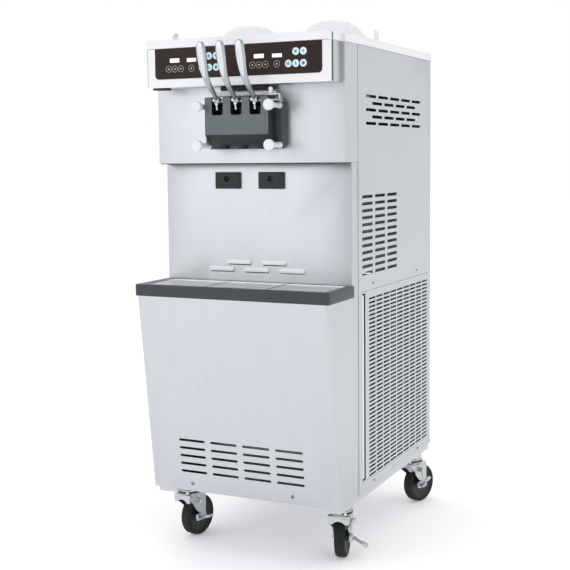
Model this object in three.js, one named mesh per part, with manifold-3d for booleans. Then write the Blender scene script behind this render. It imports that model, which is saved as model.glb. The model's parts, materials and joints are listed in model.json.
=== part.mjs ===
// Floor-standing twin-twist soft-serve ice cream machine on four swivel casters.
// Millimetres. +X is the operator's right, -Y is the front, +Z is up. The floor is Z = 0.
import * as THREE from 'three';
import { mergeVertices } from 'three/addons/utils/BufferGeometryUtils.js';
import Module from 'manifold-3d';

const wasm = await Module();
wasm.setup();

// ---------------------------------------------------------------- driving dimensions
const GAP = 0.3;                 // clearance between touching pieces
const SHEET = 2;                 // cabinet sheet thickness
const HALF_W = 300;              // half width of the cabinet
const BOTTOM = 190;              // lower edge of the cabinet panels
const TOP = 1510;                // upper face of the top cover
const COVER_T = 24;              // height of the cover's folded band
const SEAM = TOP - COVER_T;      // upper edge of the cabinet panels
const HEAD_BOTTOM = 1156;        // lower edge of the head panel
const CONSOLE_BOTTOM = 1374;     // lower edge of the control console
const RIM_TOP = 809;             // drip tray rim
const RIM_BOTTOM = 775;

const SPLASH_Y = -250;           // splash panel face
const POST_BACK_Y = -202;        // seam between corner post and side panel
const REAR_Y = 454;              // back face of the cabinet
const HEAD_Y = -294;             // head panel face
const CONSOLE_Y = -365;          // console face
const CONSOLE_HALF_W = 290;
const RIM_Y = -431;              // front of the drip tray rim
const RIM_HALF_W = 307;
const BIN_TOP_Y = -428;          // lower front panel, upper edge
const BIN_BOTTOM_Y = -355;       // lower front panel, lower edge
const BIN_HALF_W = 304;

const DOOR_Z = 1264.5;           // centre of the dispensing door and both cylinders
const CYL_X = 62;                // freezing cylinder centre
const CYL_R = 57;
const CYL_BACK_Y = 130;
const DOOR_BACK_Y = HEAD_Y - GAP;
const PLATE_FRONT_Y = -322;      // front of the door's back plate
const BLOCK_FRONT_Y = -368;      // front of the door's block
const VALVE_Y = -330;            // axis of the draw valves and spouts
const VALVE_X = [-60, 0, 60];
const VALVE_R = 9.5;
const PIVOT = { y: -358, z: 1330, r: 4 };
const NUT = { x: 113, low: 1206, high: 1316 };

const HOPPER_X = 141;
const HOPPER_R = 110;            // inside radius
const HOPPER_BOTTOM = 1338;
const LID_TOP = 1580;

const WHEEL_R = 63.5;            // 127 mm casters
const WHEEL_SIDES = 20;          // a flat of the faceted tyre stands on the floor
const AXLE_Z = WHEEL_R * Math.cos(Math.PI / WHEEL_SIDES);
const TYRE_HALF_W = 16;
const TRAIL = 38;                // wheel axle behind the swivel axis
const STEM_FRONT = { x: 253, y: -232 };
const STEM_REAR = { x: 263, y: 370 };
const PLATE_TOP = 156.7;         // top of the caster's raceway
const PAD_BOTTOM = 157;          // underside of the caster pads on the base frame

const LEVER_PATH = [             // centre line of a draw lever, [y, z], foot to tip
  [-371, 1331], [-391, 1351], [-417.5, 1371], [-434.5, 1392],
  [-445, 1413], [-453.5, 1439], [-460, 1466], [-464, 1489],
];

// ---------------------------------------------------------------- materials
const finish = (color, roughness, metalness) =>
  new THREE.MeshStandardMaterial({ color, roughness, metalness });
const STEEL = finish(0xd2d6db, 0.38, 0.9);
const WHITE = finish(0xeef0f3, 0.45, 0.1);
const BROWN = finish(0x352823, 0.3, 0);
const BLOCK_GREY = finish(0x596165, 0.45, 0);
const DARK_GREY = finish(0x3f4848, 0.5, 0);
const RIM_GREY = finish(0x4d5658, 0.45, 0);
const KNOB_WHITE = finish(0xe4e6ee, 0.4, 0);
const CHROME = finish(0xc8ccd3, 0.15, 1);
const ZINC = finish(0xb4b8bb, 0.35, 1);
const TYRE = finish(0x2f3535, 0.75, 0);
const COPPER = finish(0xb07850, 0.35, 1);
const BLACK = finish(0x1c1e20, 0.5, 0.2);
const BOARD_GREEN = finish(0x2d6a46, 0.6, 0);

// ---------------------------------------------------------------- solids
function solid(geometry) {
  const bare = geometry.index ? geometry.toNonIndexed() : geometry.clone();
  bare.deleteAttribute('normal');
  bare.deleteAttribute('uv');
  const merged = mergeVertices(bare, 1e-4);
  return new wasm.Manifold(new wasm.Mesh({
    numProp: 3,
    vertProperties: new Float32Array(merged.attributes.position.array),
    triVerts: new Uint32Array(merged.index.array),
  }));
}

function toGeometry(body) {
  const mesh = body.getMesh();
  const geometry = new THREE.BufferGeometry();
  geometry.setAttribute('position', new THREE.BufferAttribute(mesh.vertProperties, 3));
  geometry.setIndex(new THREE.BufferAttribute(mesh.triVerts, 1));
  return geometry;
}

// A box between two corners.
function box(x0, x1, y0, y1, z0, z1) {
  const geometry = new THREE.BoxGeometry(x1 - x0, y1 - y0, z1 - z0);
  geometry.translate((x0 + x1) / 2, (y0 + y1) / 2, (z0 + z1) / 2);
  return solid(geometry);
}

// A cylinder along 'x', 'y' or 'z' from a to b, centred on the other two values.
function rod(axis, a, b, u, v, radius, sides = 24) {
  const geometry = new THREE.CylinderGeometry(radius, radius, b - a, sides);
  const middle = (a + b) / 2;
  if (axis === 'x') geometry.rotateZ(-Math.PI / 2).translate(middle, u, v);
  if (axis === 'y') geometry.translate(u, middle, v);
  if (axis === 'z') geometry.rotateX(Math.PI / 2).translate(u, v, middle);
  return solid(geometry);
}

// A profile of [y, z] points, extruded from x0 to x1.
function prismX(points, x0, x1) {
  const shape = new THREE.Shape(points.map(([y, z]) => new THREE.Vector2(y, z)));
  const geometry = new THREE.ExtrudeGeometry(shape, { depth: x1 - x0, bevelEnabled: false });
  geometry.rotateX(Math.PI / 2).rotateZ(Math.PI / 2).translate(x0, 0, 0);
  return solid(geometry);
}

// A profile of [x, y] points, extruded from z0 to z1.
function prismZ(points, z0, z1) {
  const shape = new THREE.Shape(points.map(([x, y]) => new THREE.Vector2(x, y)));
  const geometry = new THREE.ExtrudeGeometry(shape, { depth: z1 - z0, bevelEnabled: false });
  geometry.translate(0, 0, z0);
  return solid(geometry);
}

// A closed profile of [radius, height] points turned about 'x', 'y' or 'z'.
function turned(axis, points, sides, turn = 0) {
  const profile = points.map(([r, h]) => new THREE.Vector2(r, h));
  const geometry = new THREE.LatheGeometry(profile, sides, turn);
  if (axis === 'x') geometry.rotateZ(-Math.PI / 2);
  if (axis === 'z') geometry.rotateX(Math.PI / 2);
  let body = solid(geometry);
  if (body.volume() < 0) body = solid(flipped(geometry));
  return body;
}

function flipped(geometry) {
  const index = geometry.index.array;
  for (let i = 0; i < index.length; i += 3) {
    const keep = index[i];
    index[i] = index[i + 1];
    index[i + 1] = keep;
  }
  return geometry;
}

const joined = (...bodies) => bodies.reduce((a, b) => a.add(b));
const cut = (body, ...tools) => tools.reduce((a, b) => a.subtract(b), body);

const machine = new THREE.Group();
machine.name = 'soft_serve_machine';

function piece(name, body, material, parent = machine) {
  const mesh = new THREE.Mesh(toGeometry(body), material);
  mesh.name = name;
  parent.add(mesh);
  return mesh;
}

// Slots cut through a sheet: columns are [from, to] ranges, rows are centre heights.
function slotTools(columns, rows, height, makeBox) {
  return rows.flatMap((z) => columns.map(([a, b]) => makeBox(a, b, z - height / 2, z + height / 2)));
}

function spaced(start, count, length, gap) {
  return Array.from({ length: count }, (_, i) => {
    const a = start + i * (length + gap);
    return [a, a + length];
  });
}

// ---------------------------------------------------------------- base and posts
function baseFrame() {
  const front = BIN_BOTTOM_Y + 23;
  const back = REAR_Y - 4;
  const edge = HALF_W - 4;
  const low = PAD_BOTTOM + 14;
  const deck = box(-edge, edge, front, back, BOTTOM - 3, BOTTOM - GAP);
  const rails = [-1, 1].map((s) => box(
    Math.min(s * 234, s * edge), Math.max(s * 234, s * edge), front, back, low, BOTTOM - 2));
  const spans = [[-300, -270], [-184, -160], [282, 306], [back - 30, back]];
  const cross = spans.map(([a, b]) => box(-236, 236, a, b, low, BOTTOM - 2));
  const pads = [STEM_FRONT, STEM_REAR].flatMap(({ x, y }) => [-1, 1].map((s) =>
    rod('z', PAD_BOTTOM, low + 1, s * x, y, 34, 16)));
  piece('base_frame', joined(deck, ...rails, ...cross, ...pads), STEEL);
}

function frontPost(name, side) {
  const outer = side * HALF_W;
  const flange = side * (HALF_W - 36);
  const skin = side * (HALF_W - SHEET);
  const front = SPLASH_Y + SHEET + GAP;
  const back = POST_BACK_Y - GAP;
  const outline = [[flange, front], [outer, front], [outer, back], [skin, back],
    [skin, front + SHEET], [flange, front + SHEET]];
  if (side < 0) outline.reverse();
  piece(name, prismZ(outline, BOTTOM + GAP, HEAD_BOTTOM - GAP), STEEL);
}

function equipmentShelf() {
  piece('equipment_shelf', box(-296, 296, -196, REAR_Y - 4, 1192, 1195), STEEL);
}

// ---------------------------------------------------------------- cabinet skins
const GRILLE = { y0: -176, y1: 428, z0: 218, z1: 782 };

function sidePanel(name, side) {
  const face = side * HALF_W;
  const inner = side * (HALF_W - SHEET);
  const x0 = Math.min(face, inner);
  const x1 = Math.max(face, inner);
  const front = POST_BACK_Y + GAP;
  const back = REAR_Y - SHEET - GAP;
  const chamfer = 15;
  const outline = [[front, BOTTOM + GAP], [back - chamfer, BOTTOM + GAP], [back, BOTTOM + chamfer],
    [back, SEAM - GAP], [front, SEAM - GAP]];
  const through = (a, b, low, high) => box(x0 - 1, x1 + 1, a, b, low, high);
  const opening = through(GRILLE.y0, GRILLE.y1, GRILLE.z0, GRILLE.z1);
  const upperRows = [1345, 1325.5, 1306, 1286.5, 1267];
  const upper = upperRows.flatMap((z, i) => slotTools(i % 2 ? [[-88, 292]] : [[-138, 346]], [z], 8, through));
  const lowerRows = Array.from({ length: 12 }, (_, i) => 1056 - i * 20.2);
  const lower = slotTools([[-171, 122]], lowerRows, 8, through);
  piece(name, cut(prismX(outline, x0, x1), opening, ...upper, ...lower), STEEL);
}

function grilleDoor(name, side) {
  const face = side * HALF_W;
  const inner = side * (HALF_W - SHEET);
  const x0 = Math.min(face, inner);
  const x1 = Math.max(face, inner);
  const sheet = box(x0, x1, GRILLE.y0 + 1, GRILLE.y1 - 1, GRILLE.z0 + 1, GRILLE.z1 - 1);
  const through = (a, b, low, high) => box(x0 - 1, x1 + 1, a, b, low, high);
  const windows = slotTools(spaced(-124, 9, 52, 8.6), [490], 538, through);
  piece(name, cut(sheet, ...windows), STEEL);
}

function rearPanel() {
  const sheet = box(-HALF_W, HALF_W, REAR_Y - SHEET, REAR_Y, BOTTOM + GAP, SEAM - GAP);
  const through = (a, b, low, high) => box(a, b, REAR_Y - SHEET - 1, REAR_Y + 1, low, high);
  const rows = Array.from({ length: 6 }, (_, i) => 620 + i * 30);
  const slots = slotTools([[-180, 180]], rows, 10, through);
  const inlet = rod('y', REAR_Y - 5, REAR_Y + 5, 200, 290, 13, 20);
  piece('rear_panel', cut(sheet, inlet, ...slots), STEEL);
}

function headPanel() {
  const back = POST_BACK_Y - GAP;
  const shell = box(-HALF_W, HALF_W, HEAD_Y, back, HEAD_BOTTOM, SEAM - GAP);
  const hollow = box(-HALF_W + SHEET, HALF_W - SHEET, HEAD_Y + SHEET, back + 10,
    HEAD_BOTTOM + SHEET, SEAM + 10);
  const bores = [-1, 1].map((s) => rod('y', HEAD_Y - 5, HEAD_Y + 5, s * CYL_X, DOOR_Z, CYL_R - 6, 20));
  const studs = [-1, 1].flatMap((s) => [NUT.low, NUT.high].map((z) =>
    rod('y', HEAD_Y - 5, HEAD_Y + 5, s * NUT.x, z, 5, 8)));
  piece('head_panel', cut(shell, hollow, ...bores, ...studs), STEEL);
}

const DRAWER = { x: [-90, 52], half: 40.5, z0: 1081, z1: 1129.5 };

function splashPanel() {
  const sheet = box(-HALF_W, HALF_W, SPLASH_Y, SPLASH_Y + SHEET, BOTTOM + GAP, HEAD_BOTTOM - GAP);
  const through = (a, b, low, high) => box(a, b, SPLASH_Y - 1, SPLASH_Y + SHEET + 1, low, high);
  const upper = slotTools([[-98, -16], [16, 98]], [865], 6, through);
  const lower = slotTools([[-157, -73], [-42, 42], [73, 157]], [843], 6, through);
  const drawers = DRAWER.x.map((x) => through(x - 34.5, x + 34.5, 1087, 1124));
  piece('splash_panel', cut(sheet, ...upper, ...lower, ...drawers), STEEL);
}

// A box with rounded front corners whose front leans: it is deeper at the top than at the bottom.
function leaningBox(halfW, low, high, lowFront, highFront, back, radius) {
  const depth = back - highFront;
  const shape = new THREE.Shape();
  shape.moveTo(-halfW, back);
  shape.lineTo(-halfW, highFront + radius);
  shape.absarc(-halfW + radius, highFront + radius, radius, Math.PI, 1.5 * Math.PI, false);
  shape.absarc(halfW - radius, highFront + radius, radius, 1.5 * Math.PI, 2 * Math.PI, false);
  shape.lineTo(halfW, back);
  const geometry = new THREE.ExtrudeGeometry(shape,
    { depth: high - low, bevelEnabled: false, curveSegments: 5 });
  geometry.translate(0, 0, low);
  const place = geometry.attributes.position;
  for (let i = 0; i < place.count; i += 1) {
    if (place.getZ(i) < (low + high) / 2) {
      const share = (back - place.getY(i)) / depth;
      place.setY(i, back - share * (back - lowFront));
    }
  }
  return solid(geometry);
}

function frontPanel() {
  const high = RIM_BOTTOM - GAP;
  const back = SPLASH_Y - GAP;
  const shell = leaningBox(BIN_HALF_W, BOTTOM, high, BIN_BOTTOM_Y, BIN_TOP_Y, back, 14);
  const lean = (BIN_BOTTOM_Y - BIN_TOP_Y) / (high - BOTTOM);
  const hollow = leaningBox(BIN_HALF_W - SHEET, BOTTOM + SHEET, high + 5,
    BIN_BOTTOM_Y + SHEET - lean * SHEET, BIN_TOP_Y + SHEET - lean * 5, back + 5, 12);
  const through = (a, b, low, z1) => box(a, b, BIN_BOTTOM_Y - 40, BIN_BOTTOM_Y + 10, low, z1);
  const rows = Array.from({ length: 5 }, (_, i) => 251 + i * 24);
  const slots = slotTools(spaced(-200, 4, 86, 18.7), rows, 9, through);
  piece('front_panel', cut(shell, hollow, ...slots), STEEL);
}

function topCover() {
  const deck = box(-HALF_W - 2, HALF_W + 2, HEAD_Y, REAR_Y + 3, SEAM, TOP);
  const prow = box(-CONSOLE_HALF_W, CONSOLE_HALF_W, CONSOLE_Y - 1, HEAD_Y + 1, SEAM, TOP);
  const under = box(-HALF_W, HALF_W, HEAD_Y + 2, REAR_Y + 1, SEAM - 5, TOP - SHEET);
  const underProw = box(-CONSOLE_HALF_W + SHEET, CONSOLE_HALF_W - SHEET, CONSOLE_Y + 1, HEAD_Y + 3,
    SEAM - 5, TOP - SHEET);
  const collars = [-1, 1].map((s) => rod('z', TOP - 1, TOP + 5, s * HOPPER_X, 0, HOPPER_R + 14, 24));
  const mouths = [-1, 1].map((s) => rod('z', SEAM - 6, TOP + 9, s * HOPPER_X, 0, HOPPER_R + 4, 24));
  const clips = [-1, 1].flatMap((s) => [-214, -10].map((y) => {
    const x = s * 284;
    return joined(box(x - 1.5, x + 1.5, y - 17, y + 17, TOP - 1, TOP + 33),
      box(Math.min(x, x - s * 14), Math.max(x, x - s * 14), y - 17, y + 17, TOP + 31, TOP + 33));
  }));
  piece('top_cover', cut(joined(deck, prow, ...collars, ...clips), under, underProw, ...mouths), WHITE);
}

// ---------------------------------------------------------------- console
function consoleHousing() {
  const shell = box(-CONSOLE_HALF_W, CONSOLE_HALF_W, CONSOLE_Y, HEAD_Y - GAP, CONSOLE_BOTTOM, SEAM - GAP);
  const hollow = box(-CONSOLE_HALF_W + SHEET, CONSOLE_HALF_W - SHEET, CONSOLE_Y + SHEET, HEAD_Y + 5,
    CONSOLE_BOTTOM + SHEET, SEAM + 5);
  const bracket = box(-66, 80, HEAD_Y - 42, HEAD_Y - 24, CONSOLE_BOTTOM - 9, CONSOLE_BOTTOM + 1);
  piece('console_housing', joined(cut(shell, hollow), bracket), WHITE);
}

function controlOverlay() {
  const half = 263;
  const shape = new THREE.Shape();
  const low = CONSOLE_BOTTOM + 24;
  const high = SEAM - 1;
  shape.moveTo(-half, high);
  shape.lineTo(-half, low + 12);
  shape.absarc(-half + 12, low + 12, 12, Math.PI, 1.5 * Math.PI, false);
  shape.absarc(half - 12, low + 12, 12, 1.5 * Math.PI, 2 * Math.PI, false);
  shape.lineTo(half, high);
  const geometry = new THREE.ExtrudeGeometry(shape, { depth: 1.5, bevelEnabled: false, curveSegments: 5 });
  geometry.rotateX(Math.PI / 2).translate(0, CONSOLE_Y - GAP, 0);
  piece('control_overlay', solid(geometry), BROWN);
}

function controlBoard() {
  const board = box(-210, 210, CONSOLE_Y + 14, CONSOLE_Y + 16, 1398, 1470);
  const parts = [-1, 1].flatMap((s) => [
    box(s * 120 - 24, s * 120 + 24, CONSOLE_Y + 15, CONSOLE_Y + 32, 1412, 1450),
    box(s * 40 - 12, s * 40 + 12, CONSOLE_Y + 15, CONSOLE_Y + 24, 1420, 1444),
  ]);
  piece('control_board', joined(board, ...parts), BOARD_GREEN);
}

// ---------------------------------------------------------------- drip tray and drawers
function dripTray() {
  const back = SPLASH_Y - GAP;
  const rim = box(-RIM_HALF_W, RIM_HALF_W, RIM_Y, back, RIM_BOTTOM, RIM_TOP);
  const pan = box(-291, 291, RIM_Y + 17, back - 4, 736, RIM_BOTTOM + 1);
  const cavity = box(-284, 284, -409, -263, 739, RIM_TOP + 5);
  const seat = box(-288.5, 288.5, -413.5, -258.5, 801, RIM_TOP + 5);
  piece('drip_tray', cut(joined(rim, pan), cavity, seat), RIM_GREY);
}

function trayGrate(index) {
  const width = 191.6;
  const x0 = -288.1 + index * (width + 0.7);
  const plate = box(x0, x0 + width, -413, -259, 801 + GAP, 805);
  const bars = spaced(x0 + 10, 8, 13, 9.6).map(([a, b]) => box(a, b, -403, -269, 795, 810));
  piece(`tray_grate_${index + 1}`, cut(plate, ...bars), STEEL);
}

function dripDrawer(name, x) {
  const front = box(x - DRAWER.half, x + DRAWER.half, SPLASH_Y - 8, SPLASH_Y - GAP, DRAWER.z0, DRAWER.z1);
  const body = box(x - 33.5, x + 33.5, SPLASH_Y - 1, 90, 1088, 1123);
  const hollow = box(x - 31.5, x + 31.5, SPLASH_Y - 0.5, 88, 1090, 1140);
  const finger = rod('y', SPLASH_Y - 12, SPLASH_Y + 2, x - 2, 1110, 8.5, 20);
  piece(name, cut(joined(front, body), hollow, finger), DARK_GREY);
}

// ---------------------------------------------------------------- dispensing head
function dispensingDoor() {
  const plateOutline = new THREE.Shape();
  const [w, low, high, r] = [125, 1196, 1333, 16];
  plateOutline.absarc(w - r, low + r, r, -Math.PI / 2, 0, false);
  plateOutline.absarc(w - r, high - r, r, 0, Math.PI / 2, false);
  plateOutline.absarc(-w + r, high - r, r, Math.PI / 2, Math.PI, false);
  plateOutline.absarc(-w + r, low + r, r, Math.PI, 1.5 * Math.PI, false);
  const plateGeometry = new THREE.ExtrudeGeometry(plateOutline,
    { depth: DOOR_BACK_Y - PLATE_FRONT_Y, bevelEnabled: false, curveSegments: 3 });
  plateGeometry.rotateX(Math.PI / 2).translate(0, DOOR_BACK_Y, 0);
  const block = prismX([[PLATE_FRONT_Y + 2, 1207], [PLATE_FRONT_Y + 2, 1342], [BLOCK_FRONT_Y, 1342],
    [BLOCK_FRONT_Y, 1236], [PLATE_FRONT_Y - 3, 1207]], -101, 101);
  const spouts = VALVE_X.map((x) => rod('z', 1195, 1240, x, VALVE_Y, 17, 16));
  const bores = VALVE_X.map((x) => rod('z', 1190, 1300, x, VALVE_Y, VALVE_R + 0.5, 16));
  const notches = VALVE_X.map((x) => box(x - 18, x + 18, BLOCK_FRONT_Y - 5, -314, 1291, 1350));
  const ports = VALVE_X.map((x) => rod('y', VALVE_Y, DOOR_BACK_Y + 5, x, 1244, 6, 8));
  const pin = rod('x', -95, 130, PIVOT.y, PIVOT.z, PIVOT.r + 0.5, 12);
  const holes = [-1, 1].flatMap((s) => [NUT.low, NUT.high].map((z) =>
    rod('y', PLATE_FRONT_Y - 5, DOOR_BACK_Y + 5, s * NUT.x, z, 4.8, 8)));
  const body = joined(solid(plateGeometry), block, ...spouts);
  piece('dispensing_door', cut(body, ...bores, ...notches, ...ports, pin, ...holes), BLOCK_GREY);
}

function thumbNut(name, x, z) {
  const head = rod('y', -397, -383, x, z, 15.5, 16);
  const stem = rod('y', -384, PLATE_FRONT_Y - GAP, x, z, 7.8, 12);
  const stud = rod('y', PLATE_FRONT_Y - 2, HEAD_Y + 12, x, z, 4, 8);
  piece(name, joined(head, stem, stud), KNOB_WHITE);
}

function pivotPin() {
  const shaft = rod('x', -94, 136, PIVOT.y, PIVOT.z, PIVOT.r, 12);
  const tab = box(132, 138, PIVOT.y - 8, PIVOT.y + 8, PIVOT.z - 6, PIVOT.z + 18);
  piece('pivot_pin', joined(shaft, tab), CHROME);
}

// A bar swept along a [y, z] path, with a width across X and a thickness at each point.
function sweptBar(path, widths, thicknesses) {
  const sides = 8;
  const rings = [];
  path.forEach(([y, z], i) => {
    const [y0, z0] = path[Math.max(i - 1, 0)];
    const [y1, z1] = path[Math.min(i + 1, path.length - 1)];
    const length = Math.hypot(y1 - y0, z1 - z0);
    const [ny, nz] = [-(z1 - z0) / length, (y1 - y0) / length];
    for (let k = 0; k < sides; k += 1) {
      const angle = (2 * Math.PI * k) / sides;
      const across = Math.cos(angle) * widths[i] / 2;
      const out = Math.sin(angle) * thicknesses[i] / 2;
      rings.push(across, y + ny * out, z + nz * out);
    }
  });
  const index = [];
  for (let i = 0; i < path.length - 1; i += 1) {
    for (let k = 0; k < sides; k += 1) {
      const [a, b] = [i * sides + k, i * sides + ((k + 1) % sides)];
      index.push(a, a + sides, b, b, a + sides, b + sides);
    }
  }
  const last = (path.length - 1) * sides;
  for (let k = 1; k < sides - 1; k += 1) {
    index.push(0, k, k + 1);
    index.push(last, last + k + 1, last + k);
  }
  const geometry = new THREE.BufferGeometry();
  geometry.setAttribute('position', new THREE.Float32BufferAttribute(rings, 3));
  geometry.setIndex(index);
  const body = solid(geometry);
  return body.volume() > 0 ? body : solid(flipped(geometry));
}

function drawLever(name, x) {
  const curve = new THREE.CatmullRomCurve3(LEVER_PATH.map(([y, z]) => new THREE.Vector3(0, y, z)));
  const steps = 9;
  const path = curve.getSpacedPoints(steps).map((p) => [p.y, p.z]);
  const widths = path.map((_, i) => 14 + 11 * Math.min(1, Math.max(0, (i / steps - 0.35) / 0.35)));
  widths[steps] = 15;
  const thick = path.map((_, i) => 10 + 3 * Math.min(1, i / steps * 2));
  thick[steps] = 8;
  const grip = sweptBar(path, widths, thick);
  const neck = sweptBar([[-374, 1333], [PIVOT.y - 3, PIVOT.z]], [14, 14], [10, 12]);
  const eye = rod('x', -8, 8, PIVOT.y, PIVOT.z, 8, 12);
  const rest = THREE.MathUtils.degToRad(-18);
  const tipY = PIVOT.y + 28 * Math.cos(rest);
  const tipZ = PIVOT.z + 28 * Math.sin(rest);
  const finger = sweptBar([[PIVOT.y, PIVOT.z], [tipY, tipZ]], [8, 8], [6, 5]);
  const ball = rod('x', -4, 4, tipY, tipZ, 4, 10);
  const screw = sweptBar([[-370, 1331], [-376, 1307]], [9, 9], [8, 7]);
  const hole = rod('x', -12, 12, PIVOT.y, PIVOT.z, PIVOT.r + 0.5, 12);
  const body = cut(joined(grip, neck, eye, finger, ball, screw), hole);
  piece(name, body, CHROME).position.x = x;
}

function drawValve(name, x) {
  const tipZ = PIVOT.z - 28 * Math.sin(THREE.MathUtils.degToRad(18));
  const body = rod('z', 1198, 1334, 0, VALVE_Y, VALVE_R, 16);
  const inner = box(-5, 5, -336, -323, tipZ - 5.2, tipZ + 5.2);
  const outer = box(-5, 5, -345, -335, tipZ - 8, tipZ + 8);
  piece(name, cut(body, inner, outer), WHITE).position.x = x;
}

// ---------------------------------------------------------------- freezing system
function freezingCylinder(name, x) {
  const front = HEAD_Y + SHEET + GAP;
  const profile = [[CYL_R - 6, front], [CYL_R + 4, front], [CYL_R + 4, front + 8], [CYL_R, front + 8],
    [CYL_R, CYL_BACK_Y], [12, CYL_BACK_Y], [12, CYL_BACK_Y - 8], [CYL_R - 6, CYL_BACK_Y - 8],
    [CYL_R - 6, front]];
  piece(name, turned('y', profile, 20), STEEL).position.set(x, 0, DOOR_Z);
}

// Two opposed blades on a shaft, twisted along the shaft.
function beater(name, x) {
  const [front, back] = [HEAD_Y + 8, CYL_BACK_Y - 14];
  const corners = [[-46, -4], [46, -4], [46, 4], [-46, 4]];
  const blade = new THREE.Shape(corners.map(([a, b]) => new THREE.Vector2(a, b)));
  const steps = 8;
  const geometry = new THREE.ExtrudeGeometry(blade, { depth: back - front, bevelEnabled: false, steps });
  const place = geometry.attributes.position;
  for (let i = 0; i < place.count; i += 1) {
    const angle = (place.getZ(i) / (back - front)) * 1.5 * Math.PI;
    const [u, v] = [place.getX(i), place.getY(i)];
    place.setXYZ(i, u * Math.cos(angle) - v * Math.sin(angle),
      u * Math.sin(angle) + v * Math.cos(angle), place.getZ(i));
  }
  geometry.rotateX(-Math.PI / 2).translate(0, front, 0);
  const shaft = rod('y', front, CYL_BACK_Y + 24, 0, 0, 11, 8);
  piece(name, joined(solid(geometry), shaft), CHROME).position.set(x, 0, DOOR_Z);
}

function gearMotor(name, x) {
  const gearbox = box(x - 52, x + 52, CYL_BACK_Y + 26, CYL_BACK_Y + 116, 1195 + GAP, 1320);
  const motor = rod('y', CYL_BACK_Y + 115, CYL_BACK_Y + 265, x, DOOR_Z, 52, 16);
  const boss = rod('y', CYL_BACK_Y + 24.4, CYL_BACK_Y + 27, x, DOOR_Z, 20, 12);
  piece(name, joined(gearbox, motor, boss), BLACK);
}

function hopper(name, x) {
  const [flange, lip] = [HOPPER_R + 12, TOP + 5 + GAP];
  const profile = [[0, HOPPER_BOTTOM], [HOPPER_R + 2, HOPPER_BOTTOM], [HOPPER_R + 2, lip], [flange, lip],
    [flange, lip + 2], [HOPPER_R, lip + 2], [HOPPER_R, HOPPER_BOTTOM + 2], [0, HOPPER_BOTTOM + 2]];
  piece(name, turned('z', profile, 24), STEEL).position.x = x;
}

function hopperLid(name, x) {
  const base = TOP + 7.6 + GAP;
  const dome = [[0, LID_TOP], [45, 1578], [70, 1570.5], [88, 1554], [103, 1532], [114, base + 3]];
  const under = dome.slice(0, 5).map(([r, z]) => [Math.max(r - 2.4, 0), z - 3]).reverse();
  const profile = [...dome, [120, base + 2], [120, base], [HOPPER_R - 1, base], ...under];
  piece(name, turned('z', profile, 24), WHITE).position.x = x;
}

function compressor() {
  const profile = [[0, 0], [94, 0], [100, 40], [100, 180], [84, 226], [40, 248], [0, 250]];
  const can = turned('z', profile, 20).translate([-80, 60, 206]);
  const feet = box(-190, 30, -50, 170, BOTTOM, 207);
  const stub = rod('z', 440, 474, -80, 60, 10, 8);
  piece('compressor', joined(can, feet, stub), BLACK);
}

function condenser() {
  const core = box(238, 282, -120, 372, BOTTOM, 760);
  const fins = Array.from({ length: 9 }, (_, i) => box(258, 290, -104 + i * 52, -82 + i * 52, 210, 740));
  piece('condenser', cut(core, ...fins), COPPER);
}

function fan() {
  const hub = rod('x', 150, 200, 126, 475, 34, 12);
  const blades = Array.from({ length: 5 }, (_, i) => {
    const geometry = new THREE.BoxGeometry(4, 62, 140);
    geometry.rotateZ(0.55).translate(0, 0, 95);
    geometry.rotateX((i * 2 * Math.PI) / 5).translate(180, 126, 475);
    return solid(geometry);
  });
  piece('fan', joined(hub, ...blades), BLACK);
}

function cableGland() {
  const outside = REAR_Y + GAP;
  const profile = [[6, outside], [22, outside], [22, outside + 5], [15, outside + 6], [13, outside + 13.6],
    [6, outside + 13.6], [6, outside]];
  const neck = [[6, REAR_Y - 14], [12, REAR_Y - 14], [12, outside + 1], [6, outside + 1], [6, REAR_Y - 14]];
  const body = joined(turned('y', profile, 12), turned('y', neck, 12));
  piece('cable_gland', body, BLACK).position.set(200, 0, 290);
}

// ---------------------------------------------------------------- casters
// Local frame of a caster: X along the axle, outward on the brake side; Y towards the wheel.
function caster(corner, x, y, heading, pedalAngle) {
  const group = new THREE.Group();
  group.position.set(x, y, 0);
  group.rotation.z = THREE.MathUtils.degToRad(heading);
  machine.add(group);
  const raceway = turned('z', [[0, 142], [30, 142], [37, 146], [37, 150], [33, PLATE_TOP],
    [0, PLATE_TOP]], 16);
  const crown = box(-24, 24, -30, 30, 133, 143);
  const leg = [[-32, 143], [34, 143], [50, 68], [48, 55], [38, 51], [28, 55], [22, 74]];
  const legs = joined(prismX(leg, -24, -21), prismX(leg, 21, 24));
  const axle = rod('x', -28, 30, TRAIL, AXLE_Z, 6, 10);
  const boss = box(23.5, 36, 0, 24, 58, 74);
  const bossNeck = box(23.5, 27, 10, 44, 58, 72);
  piece(`caster_fork_${corner}`, joined(raceway, crown, legs, axle, boss, bossNeck), ZINC, group);

  const tyre = [[6.8, -19], [18, -19], [18, -13], [52, -TYRE_HALF_W], [WHEEL_R, -11], [WHEEL_R, 11],
    [52, TYRE_HALF_W], [18, 13], [18, 19], [6.8, 19], [6.8, -19]];
  const wheel = turned('x', tyre, WHEEL_SIDES, Math.PI / WHEEL_SIDES);
  piece(`caster_wheel_${corner}`, wheel, TYRE, group).position.set(0, TRAIL, AXLE_Z);

  const pedal = new THREE.Group();
  pedal.position.set(41, 8, 66);
  pedal.rotation.y = -THREE.MathUtils.degToRad(pedalAngle);
  group.add(pedal);
  const arm = joined(rod('y', -8, 8, 0, 0, 4, 8), box(0, 26, -5, 5, -2.5, 2.5), box(24, 44, -11, 11, -3, 3));
  piece(`brake_pedal_${corner}`, arm, ZINC, pedal);
}

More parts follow.
